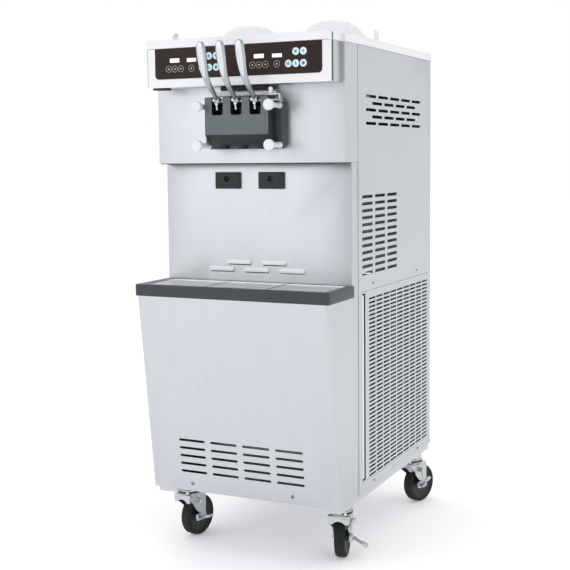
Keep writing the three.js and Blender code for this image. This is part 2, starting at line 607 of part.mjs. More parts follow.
// ---------------------------------------------------------------- assembly
baseFrame();
frontPost('left_front_post', -1);
frontPost('right_front_post', 1);
equipmentShelf();
sidePanel('left_side_panel', -1);
sidePanel('right_side_panel', 1);
grilleDoor('left_grille_door', -1);
grilleDoor('right_grille_door', 1);
rearPanel();
headPanel();
splashPanel();
frontPanel();
topCover();
consoleHousing();
controlOverlay();
controlBoard();
dripTray();
[0, 1, 2].forEach(trayGrate);
dripDrawer('drip_drawer_left', DRAWER.x[0]);
dripDrawer('drip_drawer_right', DRAWER.x[1]);
dispensingDoor();
thumbNut('thumb_nut_upper_left', -NUT.x, NUT.high);
thumbNut('thumb_nut_upper_right', NUT.x, NUT.high);
thumbNut('thumb_nut_lower_left', -NUT.x, NUT.low);
thumbNut('thumb_nut_lower_right', NUT.x, NUT.low);
pivotPin();
['left', 'middle', 'right'].forEach((place, i) => {
  drawLever(`draw_lever_${place}`, VALVE_X[i]);
  drawValve(`draw_valve_${place}`, VALVE_X[i]);
});
[['left', -1], ['right', 1]].forEach(([place, side]) => {
  freezingCylinder(`freezing_cylinder_${place}`, side * CYL_X);
  beater(`beater_${place}`, side * CYL_X);
  gearMotor(`gear_motor_${place}`, side * CYL_X);
  hopper(`hopper_${place}`, side * HOPPER_X);
  hopperLid(`hopper_lid_${place}`, side * HOPPER_X);
});
compressor();
condenser();
fan();
cableGland();
caster('front_left', -STEM_FRONT.x, STEM_FRONT.y, -10, 20);
caster('front_right', STEM_FRONT.x, STEM_FRONT.y, 13, -30);
caster('rear_right', STEM_REAR.x, STEM_REAR.y, -20.5, 50);
caster('rear_left', -STEM_REAR.x, STEM_REAR.y, 205.5, -30);

export default machine;
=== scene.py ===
"""Looks of a floor-standing twin-twist soft-serve machine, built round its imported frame.

Lengths are in millimetres unless a name ends in _m. X points to the operator's right, Y to the back, Z up.
"""
import json
import logging
import math
from collections.abc import Callable, Sequence
from dataclasses import dataclass, field
from enum import Enum

import bmesh
import bpy
from mathutils import Matrix, Vector


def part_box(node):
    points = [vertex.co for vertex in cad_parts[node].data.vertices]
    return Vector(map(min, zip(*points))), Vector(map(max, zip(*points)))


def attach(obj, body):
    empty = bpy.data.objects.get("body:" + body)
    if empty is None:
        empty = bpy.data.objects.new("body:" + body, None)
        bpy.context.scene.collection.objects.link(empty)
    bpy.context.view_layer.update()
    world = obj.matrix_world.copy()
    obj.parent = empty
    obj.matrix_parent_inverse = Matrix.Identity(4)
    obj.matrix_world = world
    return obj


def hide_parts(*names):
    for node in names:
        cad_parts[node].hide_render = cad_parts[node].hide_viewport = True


LOG = logging.getLogger("soft_serve")
MM = 0.001
Colour = tuple[float, float, float]
Outline = Sequence[tuple[float, float]]
Test = Callable[[Vector, Vector], bool]


class Axis(Enum):
    """A direction of the machine, with the matching unit vector."""

    X = (1.0, 0.0, 0.0)
    Y = (0.0, 1.0, 0.0)
    Z = (0.0, 0.0, 1.0)

    def vector(self) -> Vector:
        """Returns the unit vector."""
        return Vector(self.value)

    def place(self, u: float, v: float, at: float) -> Vector:
        """Puts a point of the plane across this axis into space.

        Args:
            u: First coordinate in the plane (Y for X, X for Y and Z).
            v: Second coordinate in the plane (Z for X and Y, Y for Z).
            at: Height of the plane along this axis.

        Returns:
            The point in metres.
        """
        spots = {Axis.X: (at, u, v), Axis.Y: (u, at, v), Axis.Z: (u, v, at)}
        return Vector(spots[self]) * MM


class Part(Enum):
    """What a selection is made of."""

    FACE = "FACE"
    EDGE = "EDGE"
    VERT = "VERT"


class Side(Enum):
    """A side of the machine, with its sign along X."""

    LEFT = -1
    RIGHT = 1

    @property
    def label(self) -> str:
        """Word used in names."""
        return self.name.lower()


@dataclass(frozen=True)
class Box:
    """A box in millimetres."""

    x0: float
    x1: float
    y0: float
    y1: float
    z0: float
    z1: float

    @classmethod
    def of_node(cls, node: str) -> "Box":
        """Returns the box of a frame node at rest."""
        low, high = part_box(node)
        return cls(*(value / MM for pair in zip(low, high) for value in pair))

    @property
    def centre(self) -> tuple[float, float, float]:
        """Middle of the box."""
        return ((self.x0 + self.x1) / 2, (self.y0 + self.y1) / 2, (self.z0 + self.z1) / 2)

    @property
    def size(self) -> tuple[float, float, float]:
        """Lengths of the box."""
        return (self.x1 - self.x0, self.y1 - self.y0, self.z1 - self.z0)


def clear_selection() -> None:
    """Leaves edit mode and deselects everything."""
    if bpy.context.object and bpy.context.object.mode != "OBJECT":
        bpy.ops.object.mode_set(mode="OBJECT")
    bpy.ops.object.select_all(action="DESELECT")


def arc(centre: tuple[float, float], radius: float, start: float, end: float, steps: int) -> list[tuple[float, float]]:
    """Returns points on an arc, its two ends included.

    Args:
        centre: Centre of the arc.
        radius: Radius of the arc.
        start: First angle in degrees.
        end: Last angle in degrees.
        steps: Number of chords.

    Returns:
        The points in order.
    """
    angles = [math.radians(start + (end - start) * i / steps) for i in range(steps + 1)]
    return [(centre[0] + radius * math.cos(a), centre[1] + radius * math.sin(a)) for a in angles]


def rounded_outline(u0: float, u1: float, v0: float, v1: float, radius: float, steps: int = 6) -> list[tuple[float, float]]:
    """Returns the outline of a rectangle with round corners.

    Args:
        u0: Low end of the first coordinate.
        u1: High end of the first coordinate.
        v0: Low end of the second coordinate.
        v1: High end of the second coordinate.
        radius: Corner radius.
        steps: Chords in each corner.

    Returns:
        The points in order, anticlockwise.
    """
    corners = [((u1 - radius, v0 + radius), -90), ((u1 - radius, v1 - radius), 0),
               ((u0 + radius, v1 - radius), 90), ((u0 + radius, v0 + radius), 180)]
    return [point for centre, start in corners for point in arc(centre, radius, start, start + 90, steps)]


class Workpiece:
    """A mesh on the bench: a primitive shaped by edit-mode operators and finished by modifiers."""

    def __init__(self, name: str) -> None:
        """Takes the active object as a new workpiece.

        Args:
            name: Name of the piece.
        """
        self.body: bpy.types.Object = bpy.context.object
        self.body.name = name
        self.body.data.name = name
        self.apply_place()

    # ------------------------------------------------------------ starting shapes
    @classmethod
    def block(cls, name: str, box: Box) -> "Workpiece":
        """Adds a block that fills a box."""
        clear_selection()
        centre = [value * MM for value in box.centre]
        bpy.ops.mesh.primitive_cube_add(size=1, location=centre, scale=[value * MM for value in box.size])
        return cls(name)

    @classmethod
    def rod(cls, name: str, axis: Axis, ends: tuple[float, float], middle: tuple[float, float], radius: float,
            sides: int = 32) -> "Workpiece":
        """Adds a round rod along an axis.

        Args:
            name: Name of the piece.
            axis: Direction of the rod.
            ends: Low and high end along the axis.
            middle: Centre in the plane across the axis.
            radius: Radius of the rod.
            sides: Number of sides.

        Returns:
            The workpiece.
        """
        clear_selection()
        turn = {Axis.X: (0, math.pi / 2, 0), Axis.Y: (math.pi / 2, 0, 0), Axis.Z: (0, 0, 0)}[axis]
        place = axis.place(*middle, sum(ends) / 2)
        bpy.ops.mesh.primitive_cylinder_add(vertices=sides, radius=radius * MM, depth=(ends[1] - ends[0]) * MM,
                                            location=place, rotation=turn)
        return cls(name)

    @classmethod
    def flat(cls, name: str, outline: Outline, axis: Axis, at: float) -> "Workpiece":
        """Adds a flat face with a given outline, across an axis."""
        clear_selection()
        bpy.ops.mesh.primitive_circle_add(vertices=len(outline), radius=1, fill_type="NGON")
        piece = cls(name)
        for vertex, (u, v) in zip(piece.body.data.vertices, outline):
            vertex.co = axis.place(u, v, at)
        return piece

    @classmethod
    def prism(cls, name: str, outline: Outline, axis: Axis, ends: tuple[float, float]) -> "Workpiece":
        """Adds an outline and extrudes it along its axis."""
        piece = cls.flat(name, outline, axis, ends[0])
        piece.edit()
        bpy.ops.mesh.select_all(action="SELECT")
        bpy.ops.mesh.extrude_region_move(
            TRANSFORM_OT_translate={"value": axis.vector() * (ends[1] - ends[0]) * MM})
        piece.face_outwards()
        return piece

    @classmethod
    def turned(cls, name: str, profile: Outline, axis: Axis, middle: tuple[float, float] = (0.0, 0.0),
               steps: int = 48) -> "Workpiece":
        """Spins a profile of (radius, height) points about an axis.

        Args:
            name: Name of the piece.
            profile: The profile; it ends on the axis at both ends or closes on itself.
            axis: The axis of the turning.
            middle: Where the axis passes, in the plane across it.
            steps: Steps in the full turn.

        Returns:
            The workpiece.
        """
        clear_selection()
        bpy.ops.mesh.primitive_circle_add(vertices=len(profile), radius=1, fill_type="NOTHING")
        piece = cls(name)
        for vertex, (radius, height) in zip(piece.body.data.vertices, profile):
            vertex.co = axis.place(middle[0] + radius, middle[1], height)
        centre = axis.place(*middle, 0)
        piece.pick(Part.EDGE, lambda place, _: (place - centre / MM - axis.vector() * place.dot(axis.vector())).length < 1e-4)
        bpy.ops.mesh.delete(type="EDGE")
        bpy.ops.mesh.select_all(action="SELECT")
        bpy.ops.mesh.spin(steps=steps, angle=2 * math.pi, center=centre, axis=axis.value, use_auto_merge=True)
        piece.face_outwards()
        return piece

    # ------------------------------------------------------------ edit mode
    def edit(self) -> None:
        """Opens the workpiece in edit mode."""
        if bpy.context.object is self.body and self.body.mode == "EDIT":
            return
        clear_selection()
        bpy.context.view_layer.objects.active = self.body
        self.body.select_set(True)
        bpy.ops.object.mode_set(mode="EDIT")

    def hold(self) -> None:
        """Makes the workpiece the one selected object."""
        clear_selection()
        bpy.context.view_layer.objects.active = self.body
        self.body.select_set(True)

    def pick(self, part: Part, test: Test) -> "Workpiece":
        """Selects faces, edges or corners by their place and direction.

        Args:
            part: What to select.
            test: Called with the middle in millimetres and the normal, or an edge's direction.

        Returns:
            The workpiece, in edit mode.
        """
        self.edit()
        bpy.ops.mesh.select_mode(type=part.value)
        bpy.ops.mesh.select_all(action="DESELECT")
        mesh = bmesh.from_edit_mesh(self.body.data)
        if part is Part.FACE:
            found = [(face, face.calc_center_median(), face.normal) for face in mesh.faces]
        elif part is Part.EDGE:
            found = [(edge, (edge.verts[0].co + edge.verts[1].co) / 2,
                      (edge.verts[1].co - edge.verts[0].co).normalized()) for edge in mesh.edges]
        else:
            found = [(vertex, vertex.co, vertex.normal) for vertex in mesh.verts]
        for element, place, direction in found:
            if test(place / MM, direction):
                element.select_set(True)
        mesh.select_flush_mode()
        bmesh.update_edit_mesh(self.body.data)
        return self

    def along(self, axis: Axis, near: Test = lambda place, direction: True) -> "Workpiece":
        """Selects the edges that run along an axis and pass a further test."""
        return self.pick(Part.EDGE, lambda place, way: abs(way.dot(axis.vector())) > 0.99 and near(place, way))

    def bevel(self, width: float, segments: int = 3, corners: bool = False) -> "Workpiece":
        """Bevels what is selected."""
        bpy.ops.mesh.bevel(offset=width * MM, segments=segments, affect="VERTICES" if corners else "EDGES")
        return self

    def inset(self, width: float, depth: float = 0.0, each: bool = False) -> "Workpiece":
        """Insets the selected faces."""
        bpy.ops.mesh.inset(thickness=width * MM, depth=depth * MM, use_individual=each, use_even_offset=True)
        return self

    def push(self, x: float = 0.0, y: float = 0.0, z: float = 0.0, extrude: bool = False) -> "Workpiece":
        """Moves what is selected, extruding it first if asked."""
        step = Vector((x, y, z)) * MM
        if extrude:
            bpy.ops.mesh.extrude_region_move(TRANSFORM_OT_translate={"value": step})
        else:
            bpy.ops.transform.translate(value=step)
        return self

    def resize(self, x: float = 1.0, y: float = 1.0, z: float = 1.0) -> "Workpiece":
        """Scales what is selected about its own middle."""
        bpy.ops.transform.resize(value=(x, y, z))
        return self

    def remove(self, part: Part = Part.FACE) -> "Workpiece":
        """Deletes what is selected."""
        bpy.ops.mesh.delete(type=part.value)
        return self

    def face_outwards(self) -> "Workpiece":
        """Merges doubles and turns every face outwards."""
        self.edit()
        bpy.ops.mesh.select_all(action="SELECT")
        bpy.ops.mesh.remove_doubles(threshold=1e-6)
        bpy.ops.mesh.normals_make_consistent(inside=False)
        return self

    # ------------------------------------------------------------ modifiers
    def modify(self, kind: str, **settings: object) -> "Workpiece":
        """Adds a modifier, sets it up and applies it.

        Args:
            kind: The modifier's type.
            **settings: Its properties.

        Returns:
            The workpiece.
        """
        self.hold()
        modifier = self.body.modifiers.new(kind.title(), kind)
        for key, value in settings.items():
            setattr(modifier, key, value)
        bpy.ops.object.modifier_apply(modifier=modifier.name)
        return self

    def rounded(self, width: float, segments: int = 2, angle: float = 30.0) -> "Workpiece":
        """Rounds every edge sharper than an angle."""
        return self.modify("BEVEL", width=width * MM, segments=segments, limit_method="ANGLE",
                           angle_limit=math.radians(angle), use_clamp_overlap=True)

    def walled(self, thickness: float, offset: float = -1.0) -> "Workpiece":
        """Gives an open sheet its thickness, inwards by default."""
        return self.modify("SOLIDIFY", thickness=thickness * MM, offset=offset, use_even_offset=True)

    def arrayed(self, count: int, step: tuple[float, float, float], merge: bool = False) -> "Workpiece":
        """Repeats the workpiece in a row, welding neighbours if asked."""
        return self.modify("ARRAY", count=count, use_relative_offset=False, use_constant_offset=True,
                           constant_offset_displace=Vector(step) * MM, use_merge_vertices=merge,
                           merge_threshold=1e-5)

    def softened(self, levels: int) -> "Workpiece":
        """Subdivides the surface smoothly."""
        return self.modify("SUBSURF", levels=levels, render_levels=levels)

    def cut(self, *tools: "Workpiece") -> "Workpiece":
        """Cuts tools out of the workpiece and throws them away."""
        for tool in tools:
            self.boolean(tool, "DIFFERENCE")
        return self

    def weld(self, *others: "Workpiece") -> "Workpiece":
        """Joins others to the workpiece as one solid."""
        for other in others:
            self.boolean(other, "UNION")
        return self

    def boolean(self, tool: "Workpiece", operation: str) -> None:
        """Applies a boolean with a tool and removes the tool."""
        clear_selection()
        self.modify("BOOLEAN", object=tool.body, operation=operation, solver="EXACT")
        tool.scrap()

    def gather(self, *others: "Workpiece") -> "Workpiece":
        """Puts others into the same mesh, side by side."""
        self.hold()
        for other in others:
            other.body.select_set(True)
        bpy.context.view_layer.objects.active = self.body
        bpy.ops.object.join()
        return self

    # ------------------------------------------------------------ whole object
    def scrap(self) -> None:
        """Removes the workpiece."""
        clear_selection()
        mesh = self.body.data
        bpy.data.objects.remove(self.body)
        bpy.data.meshes.remove(mesh)

    def apply_place(self) -> None:
        """Writes the object's place into its mesh."""
        bpy.ops.object.transform_apply(location=True, rotation=True, scale=True)

    def copy(self, name: str) -> "Workpiece":
        """Copies the workpiece with a mesh of its own."""
        clear_selection()
        twin = self.body.copy()
        twin.data = self.body.data.copy()
        bpy.context.scene.collection.objects.link(twin)
        bpy.context.view_layer.objects.active = twin
        twin.select_set(True)
        return Workpiece(name)

    def placed(self, matrix: Matrix) -> "Workpiece":
        """Moves the whole mesh by a matrix in metres."""
        clear_selection()
        self.body.data.transform(matrix)
        self.body.data.update()
        return self

    def moved(self, x: float = 0.0, y: float = 0.0, z: float = 0.0) -> "Workpiece":
        """Moves the whole mesh."""
        return self.placed(Matrix.Translation(Vector((x, y, z)) * MM))

    def swung(self, axis: Axis, degrees: float, about: tuple[float, float, float]) -> "Workpiece":
        """Turns the whole mesh about an axis through a point."""
        pivot = Matrix.Translation(Vector(about) * MM)
        turn = Matrix.Rotation(math.radians(degrees), 4, axis.value)
        return self.placed(pivot @ turn @ pivot.inverted())

    def mirrored(self) -> "Workpiece":
        """Mirrors the whole mesh to the other side of the machine."""
        self.placed(Matrix.Scale(-1, 4, Axis.X.vector()))
        self.edit()
        bpy.ops.mesh.select_all(action="SELECT")
        bpy.ops.mesh.flip_normals()
        return self

    def finish(self, look: "Finish", body: str, replaces: Sequence[str] = (), smooth: float = 35.0) -> "Workpiece":
        """Dresses the workpiece and hangs it on the frame.

        Args:
            look: The finish.
            body: The frame's body that it moves with.
            replaces: Frame nodes that it stands for.
            smooth: Angle below which edges are shaded smooth, in degrees.

        Returns:
            The workpiece.
        """
        self.hold()
        bpy.ops.object.shade_smooth_by_angle(angle=math.radians(smooth))
        clear_selection()
        self.body.data.materials.clear()
        self.body.data.materials.append(look.material())
        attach(self.body, body)
        if replaces:
            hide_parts(*replaces)
        LOG.info("%s: %d faces", self.body.name, len(self.body.data.polygons))
        return self


# -------------------------------------------------------------------- finishes
class Bench:
    """The node tree of one material while it is being mixed."""

    def __init__(self, name: str) -> None:
        """Starts a material with one principled shader."""
        self.material = bpy.data.materials.new(name)
        self.material.use_nodes = True
        self.tree = self.material.node_tree
        self.shader = next(node for node in self.tree.nodes if node.type == "BSDF_PRINCIPLED")
        self.place = self.tree.nodes.new("ShaderNodeTexCoord").outputs["Object"]

    def node(self, kind: str, **inputs: object) -> bpy.types.Node:
        """Adds a node and sets its input sockets; spaces in socket names are written as underscores."""
        made = self.tree.nodes.new(kind)
        for key, value in inputs.items():
            made.inputs[key.replace("_", " ")].default_value = value
        return made

    def link(self, start: bpy.types.NodeSocket, end: bpy.types.NodeSocket) -> None:
        """Links two sockets."""
        self.tree.links.new(start, end)

    def noise(self, per_metre: tuple[float, float, float], detail: float = 3.0) -> bpy.types.NodeSocket:
        """Returns soft noise with so many features in a metre along X, Y and Z."""
        mapping = self.node("ShaderNodeMapping", Scale=per_metre)
        self.link(self.place, mapping.inputs["Vector"])
        noise = self.node("ShaderNodeTexNoise", Scale=1.0, Detail=detail, Roughness=0.55)
        self.link(mapping.outputs["Vector"], noise.inputs["Vector"])
        return noise.outputs["Fac"]

    def span(self, value: bpy.types.NodeSocket, low: float, high: float) -> bpy.types.NodeSocket:
        """Returns noise stretched to a range."""
        spread = self.node("ShaderNodeMapRange", From_Min=0.3, From_Max=0.7, To_Min=low, To_Max=high)
        self.link(value, spread.inputs["Value"])
        return spread.outputs["Result"]

    def blend(self, factor: bpy.types.NodeSocket, first: Colour, second: Colour) -> bpy.types.NodeSocket:
        """Returns a colour that runs from one to another with a value."""
        ramp = self.node("ShaderNodeValToRGB")
        ramp.color_ramp.elements[0].position = 0.3
        ramp.color_ramp.elements[0].color = (*first, 1.0)
        ramp.color_ramp.elements[1].position = 0.7
        ramp.color_ramp.elements[1].color = (*second, 1.0)
        self.link(factor, ramp.inputs["Fac"])
        return ramp.outputs["Color"]

    def relief(self, height: bpy.types.NodeSocket, strength: float, deep: float = 0.0004) -> None:
        """Bumps the shader's surface by a height."""
        bump = self.node("ShaderNodeBump", Strength=strength, Distance=deep)
        self.link(height, bump.inputs["Height"])
        self.link(bump.outputs["Normal"], self.shader.inputs["Normal"])


@dataclass(frozen=True)
class Finish:
    """A surface: cloudy colour, wandering roughness and a fine grain.

    Attributes:
        name: Name of the material.
        slot: The record's material slot that it belongs to; not used.
        colour: Main colour.
        tint: Colour of its cloudy patches.
        roughness: Middle roughness.
        metallic: 1 for bare metal.
        swing: How far the roughness wanders.
        clouds: Patches in a metre along X, Y and Z.
        grain: Grains in a metre along X, Y and Z.
        bump: Strength of the grain's relief.
        coat: Weight of the clear coat.
        glow: Light given off, on lit windows.
        shine: Strength of the plain reflection of a plastic.
    """

    name: str
    slot: str
    colour: Colour
    tint: Colour
    roughness: float
    metallic: float = 0.0
    swing: float = 0.05
    clouds: tuple[float, float, float] = (6.0, 6.0, 6.0)
    grain: tuple[float, float, float] = (700.0, 700.0, 700.0)
    bump: float = 0.08
    coat: float = 0.0
    glow: float = 0.0
    shine: float = 0.5

    def material(self) -> bpy.types.Material:
        """Returns the material, mixing it the first time."""
        return bpy.data.materials.get(self.name) or self.mix().material

    def mix(self) -> Bench:
        """Builds the node tree.

        Returns:
            The bench with the finished material.
        """
        bench = Bench(self.name)
        shader = bench.shader
        shader.inputs["Metallic"].default_value = self.metallic
        shader.inputs["Coat Weight"].default_value = self.coat
        shader.inputs["Specular IOR Level"].default_value = self.shine
        shader.inputs["Coat Roughness"].default_value = 0.12
        if self.glow:
            shader.inputs["Emission Color"].default_value = (*self.colour, 1.0)
            shader.inputs["Emission Strength"].default_value = self.glow
        bench.link(bench.blend(bench.noise(self.clouds), self.colour, self.tint), shader.inputs["Base Color"])
        grain = bench.noise(self.grain, detail=4.0)
        bench.link(bench.span(grain, self.roughness - self.swing, self.roughness + self.swing),
                   shader.inputs["Roughness"])
        bench.relief(grain, self.bump)
        return bench


@dataclass(frozen=True)
class BrushedSteel(Finish):
    """Sheet steel with a brushed grain that runs along one axis."""

    lines: Axis = Axis.Z

    def mix(self) -> Bench:
        """Adds long brush lines to the plain recipe.

        Returns:
            The bench with the finished material.
        """
        bench = Bench(self.name)
        shader = bench.shader
        shader.inputs["Metallic"].default_value = self.metallic
        along, across = 3.0, 900.0
        fine = tuple(along if axis is self.lines else across for axis in Axis)
        broad = tuple(1.2 if axis is self.lines else 55.0 for axis in Axis)
        streaks = bench.noise(broad, detail=2.0)
        bench.link(bench.blend(streaks, self.colour, self.tint), shader.inputs["Base Color"])
        brush = bench.noise(fine, detail=3.0)
        bench.link(bench.span(brush, self.roughness - self.swing, self.roughness + self.swing),
                   shader.inputs["Roughness"])
        bench.relief(brush, self.bump, deep=0.0002)
        return bench


@dataclass(frozen=True)
class ForwardPlastic(Finish):
    """Moulded plastic that is paler on its foremost faces than on the faces behind them.

    Attributes:
        steps: Y at which the painted highlight changes, in metres, each with how strong it is from there on.
        pale: Colour of the painted highlight on the foremost faces.
    """

    steps: tuple[tuple[float, float], ...] = ((-0.3678, 1.0), (-0.3670, 0.06), (-0.3232, 0.06), (-0.3222, 0.44))
    pale: Colour = (0.122, 0.142, 0.150)

    def mix(self) -> Bench:
        """Blends the painted highlight over the plain recipe.

        Returns:
            The bench with the finished material.
        """
        bench = super().mix()
        base = bench.shader.inputs["Base Color"]
        plain = base.links[0].from_socket
        parts = bench.node("ShaderNodeSeparateXYZ")
        bench.link(bench.place, parts.inputs["Vector"])
        reach = bench.node("ShaderNodeMapRange", From_Min=-0.4, From_Max=-0.2)
        bench.link(parts.outputs["Y"], reach.inputs["Value"])
        ramp = bench.node("ShaderNodeValToRGB")
        ramp.color_ramp.interpolation = "LINEAR"
        for index, (place, tone) in enumerate(self.steps):
            stop = ramp.color_ramp.elements[index] if index < 2 else ramp.color_ramp.elements.new(0.99)
            stop.position = (place + 0.4) / 0.2
            stop.color = (tone, tone, tone, 1.0)
        bench.link(reach.outputs["Result"], ramp.inputs["Fac"])
        blend = bench.node("ShaderNodeMix")
        blend.data_type = "RGBA"
        colours = [socket for socket in blend.inputs if socket.type == "RGBA"]
        bench.link(ramp.outputs["Color"], blend.inputs["Factor"])
        bench.link(plain, colours[0])
        colours[1].default_value = (*self.pale, 1.0)
        result = next(socket for socket in blend.outputs if socket.type == "RGBA")
        bench.link(result, base)
        return bench


PANEL_STEEL = BrushedSteel("panel_steel", "stainless", (0.560, 0.582, 0.612), (0.576, 0.598, 0.628), 0.40, 1.0, 0.03, bump=0.03)
TRIM_STEEL = BrushedSteel("trim_steel", "stainless", (0.60, 0.62, 0.65), (0.68, 0.70, 0.72), 0.30, 1.0, 0.06,
                          lines=Axis.X)
BRIGHT_STEEL = Finish("bright_steel", "stainless", (0.78, 0.79, 0.80), (0.72, 0.73, 0.75), 0.14, 1.0, 0.04)
GRATE_STEEL = Finish("grate_steel", "stainless", (0.90, 0.91, 0.92), (0.86, 0.87, 0.88), 0.45, 1.0, 0.05)
SHADOW_STEEL = Finish("shadow_steel", "stainless", (0.02, 0.022, 0.024), (0.03, 0.032, 0.034), 0.6, 0.2)
COVER_WHITE = Finish("cover_white", "white_cover", (0.78, 0.79, 0.80), (0.82, 0.83, 0.84), 0.34, bump=0.05,
                     grain=(350.0, 350.0, 350.0), coat=0.2)
LID_WHITE = Finish("lid_white", "white_plastic", (0.76, 0.77, 0.785), (0.80, 0.81, 0.82), 0.28, bump=0.0)
OVERLAY_BROWN = Finish("overlay_brown", "overlay", (0.024, 0.012, 0.009), (0.020, 0.010, 0.008), 0.5, bump=0.05,
                       grain=(1500.0, 1500.0, 1500.0), shine=0.25)
KEY_BLUE = Finish("key_blue", "overlay", (0.60, 0.80, 0.88), (0.66, 0.84, 0.91), 0.35)
KEY_LINE = Finish("key_line", "overlay", (0.42, 0.38, 0.36), (0.50, 0.46, 0.44), 0.4)
KEY_MARK = Finish("key_mark", "overlay", (0.06, 0.10, 0.13), (0.08, 0.12, 0.15), 0.4)
WINDOW_WHITE = Finish("window_white", "overlay", (0.90, 0.92, 0.92), (0.94, 0.95, 0.95), 0.2, glow=0.25)
BOARD_GREEN = Finish("board_green", "circuit_board", (0.03, 0.14, 0.06), (0.05, 0.19, 0.08), 0.4,
                     clouds=(120.0, 120.0, 120.0))
# Door plastic: its own dark grey, with a painted highlight on the foremost faces.
DOOR_GREY = ForwardPlastic("door_grey", "door_plastic", (0.010, 0.013, 0.014), (0.014, 0.017, 0.018), 0.40, bump=0.12,
                           grain=(900.0, 900.0, 900.0), shine=0.28)
# Flat white on the stainless louvre hoods: a painted highlight.
HOOD_PAINTED_HIGHLIGHT = Finish("hood_white", "stainless", (0.90, 0.91, 0.92), (0.94, 0.95, 0.96), 0.4)
# Paler copy of the lever chrome: the painted highlight on each grip's front.
LEVER_HIGHLIGHT_CHROME = Finish("lever_satin", "chrome", (0.58, 0.60, 0.63), (0.64, 0.66, 0.68), 0.34, 1.0, 0.05)
FIN_BLACK = Finish("fin_black", "coil", (0.020, 0.024, 0.024), (0.032, 0.036, 0.036), 0.5)
SCREW_STEEL = Finish("screw_steel", "stainless", (0.26, 0.27, 0.29), (0.34, 0.35, 0.37), 0.3, 1.0, 0.05)
DRAWER_GREY = Finish("drawer_grey", "drawer_plastic", (0.022, 0.029, 0.030), (0.028, 0.035, 0.036), 0.5, bump=0.12,
                     grain=(1200.0, 1200.0, 1200.0), shine=0.22)
# Grey of the drip tray rim, also used for dark strips of painted shade on the console.
RIM_AND_SHADE_GREY = Finish("rim_grey", "rim_plastic", (0.036, 0.045, 0.048), (0.042, 0.052, 0.055), 0.30, bump=0.1,
                  grain=(900.0, 900.0, 900.0), shine=0.34)
KNOB_WHITE = Finish("knob_white", "knob_plastic", (0.74, 0.76, 0.80), (0.80, 0.81, 0.84), 0.32, bump=0.05)
# Chrome darkened to paint the dark reflections along the grips' edges; the pivot pin and beaters share it.
SHADED_CHROME = Finish("lever_chrome", "chrome", (0.36, 0.38, 0.40), (0.46, 0.48, 0.50), 0.20, 1.0, 0.07,
                      grain=(160.0, 160.0, 160.0), bump=0.03)
ZINC = Finish("zinc_plate", "zinc", (0.50, 0.52, 0.54), (0.60, 0.61, 0.60), 0.30, 1.0, 0.10,
              clouds=(60.0, 60.0, 60.0), grain=(260.0, 260.0, 260.0))
YELLOW_ZINC = Finish("yellow_zinc", "zinc", (0.70, 0.66, 0.50), (0.78, 0.74, 0.60), 0.32, 1.0, 0.08)
TYRE_BLACK = Finish("tyre_black", "tyre", (0.010, 0.013, 0.013), (0.020, 0.023, 0.023), 0.72, swing=0.10, bump=0.25,
                    clouds=(30.0, 30.0, 30.0), shine=0.3)
HUB_GREY = Finish("hub_grey", "tyre", (0.012, 0.016, 0.016), (0.02, 0.024, 0.024), 0.45, shine=0.4)
# Black of seals and black plastic parts, also used for strips of painted shade in seams and under the head panel.
SEAL_AND_SHADE_BLACK = Finish("seal_black", "black_plastic", (0.010, 0.011, 0.012), (0.016, 0.017, 0.018), 0.5, shine=0.3)
CASTING_BLACK = Finish("casting_black", "machinery", (0.018, 0.020, 0.022), (0.030, 0.032, 0.034), 0.5, bump=0.3,
                       grain=(450.0, 450.0, 450.0))


# -------------------------------------------------------------------- shared shop-made details
def slot_tool(length: float, height: float, axis: Axis, at: tuple[float, float, float], reach: float) -> Workpiece:
    """Makes one round-ended slot cutter that passes through a sheet.

    Args:
        length: Length of the slot.
        height: Height of the slot.
        axis: Axis that the slot passes through, X or Y.
        at: Low end of the slot along its length, and its middle height, as a point.
        reach: Length of the cutter through the sheet.

    Returns:
        The cutter.
    """
    along = at[1] if axis is Axis.X else at[0]
    through = at[0] if axis is Axis.X else at[1]
    outline = rounded_outline(along, along + length, at[2] - height / 2, at[2] + height / 2, height * 0.49, 3)
    return Workpiece.prism("slot_tool", outline, axis, (through - reach / 2, through + reach / 2))


def pressed_lip(length: float, height: float, rise: float, opens_up: bool) -> Workpiece:
    """Makes the pressed lip of a louvre on the sheet Y = 0, facing -Y, from X = 0 with its slot edge at Z = 0.

    Args:
        length: Length of the lip.
        height: Height of the lip.
        rise: How far its free edge stands out.
        opens_up: True if the free edge is at the top.

    Returns:
        The lip.
    """
    sign = -1 if opens_up else 1
    low, high = sorted((0.0, sign * height))
    lip = Workpiece.block("pressed_lip", Box(0, length, -rise, 0.6, low, high))
    lip.pick(Part.EDGE, lambda place, way: abs(way.x) > 0.9 and place.y < -rise / 2 and abs(place.z) > height / 2)
    lip.push(y=rise * 0.92)
    lip.pick(Part.VERT, lambda place, _: place.y < -rise * 0.5)
    lip.resize(x=1 - 1.4 * rise / length)
    return lip.rounded(rise * 0.28, 3)


def puffed_hood(length: float, height: float, rise: float) -> Workpiece:
    """Makes the puffed hood of a louvre that opens downwards, on the sheet Y = 0, facing -Y.

    Args:
        length: Length of the hood.
        height: Height of the hood.
        rise: How far it stands out.

    Returns:
        The hood, from X = 0 with its open edge at Z = 0.
    """
    hood = Workpiece.prism("puffed_hood", rounded_outline(0, length, 0, height, height * 0.46, 5), Axis.Y, (-rise, 0.6))
    hood.pick(Part.EDGE, lambda place, way: place.y < -rise + 0.3 and place.z > height * 0.1).bevel(rise * 0.85, 5)
    hood.pick(Part.EDGE, lambda place, way: place.y < -rise + 0.3 and place.z < 0.3).bevel(0.5, 2)
    return hood


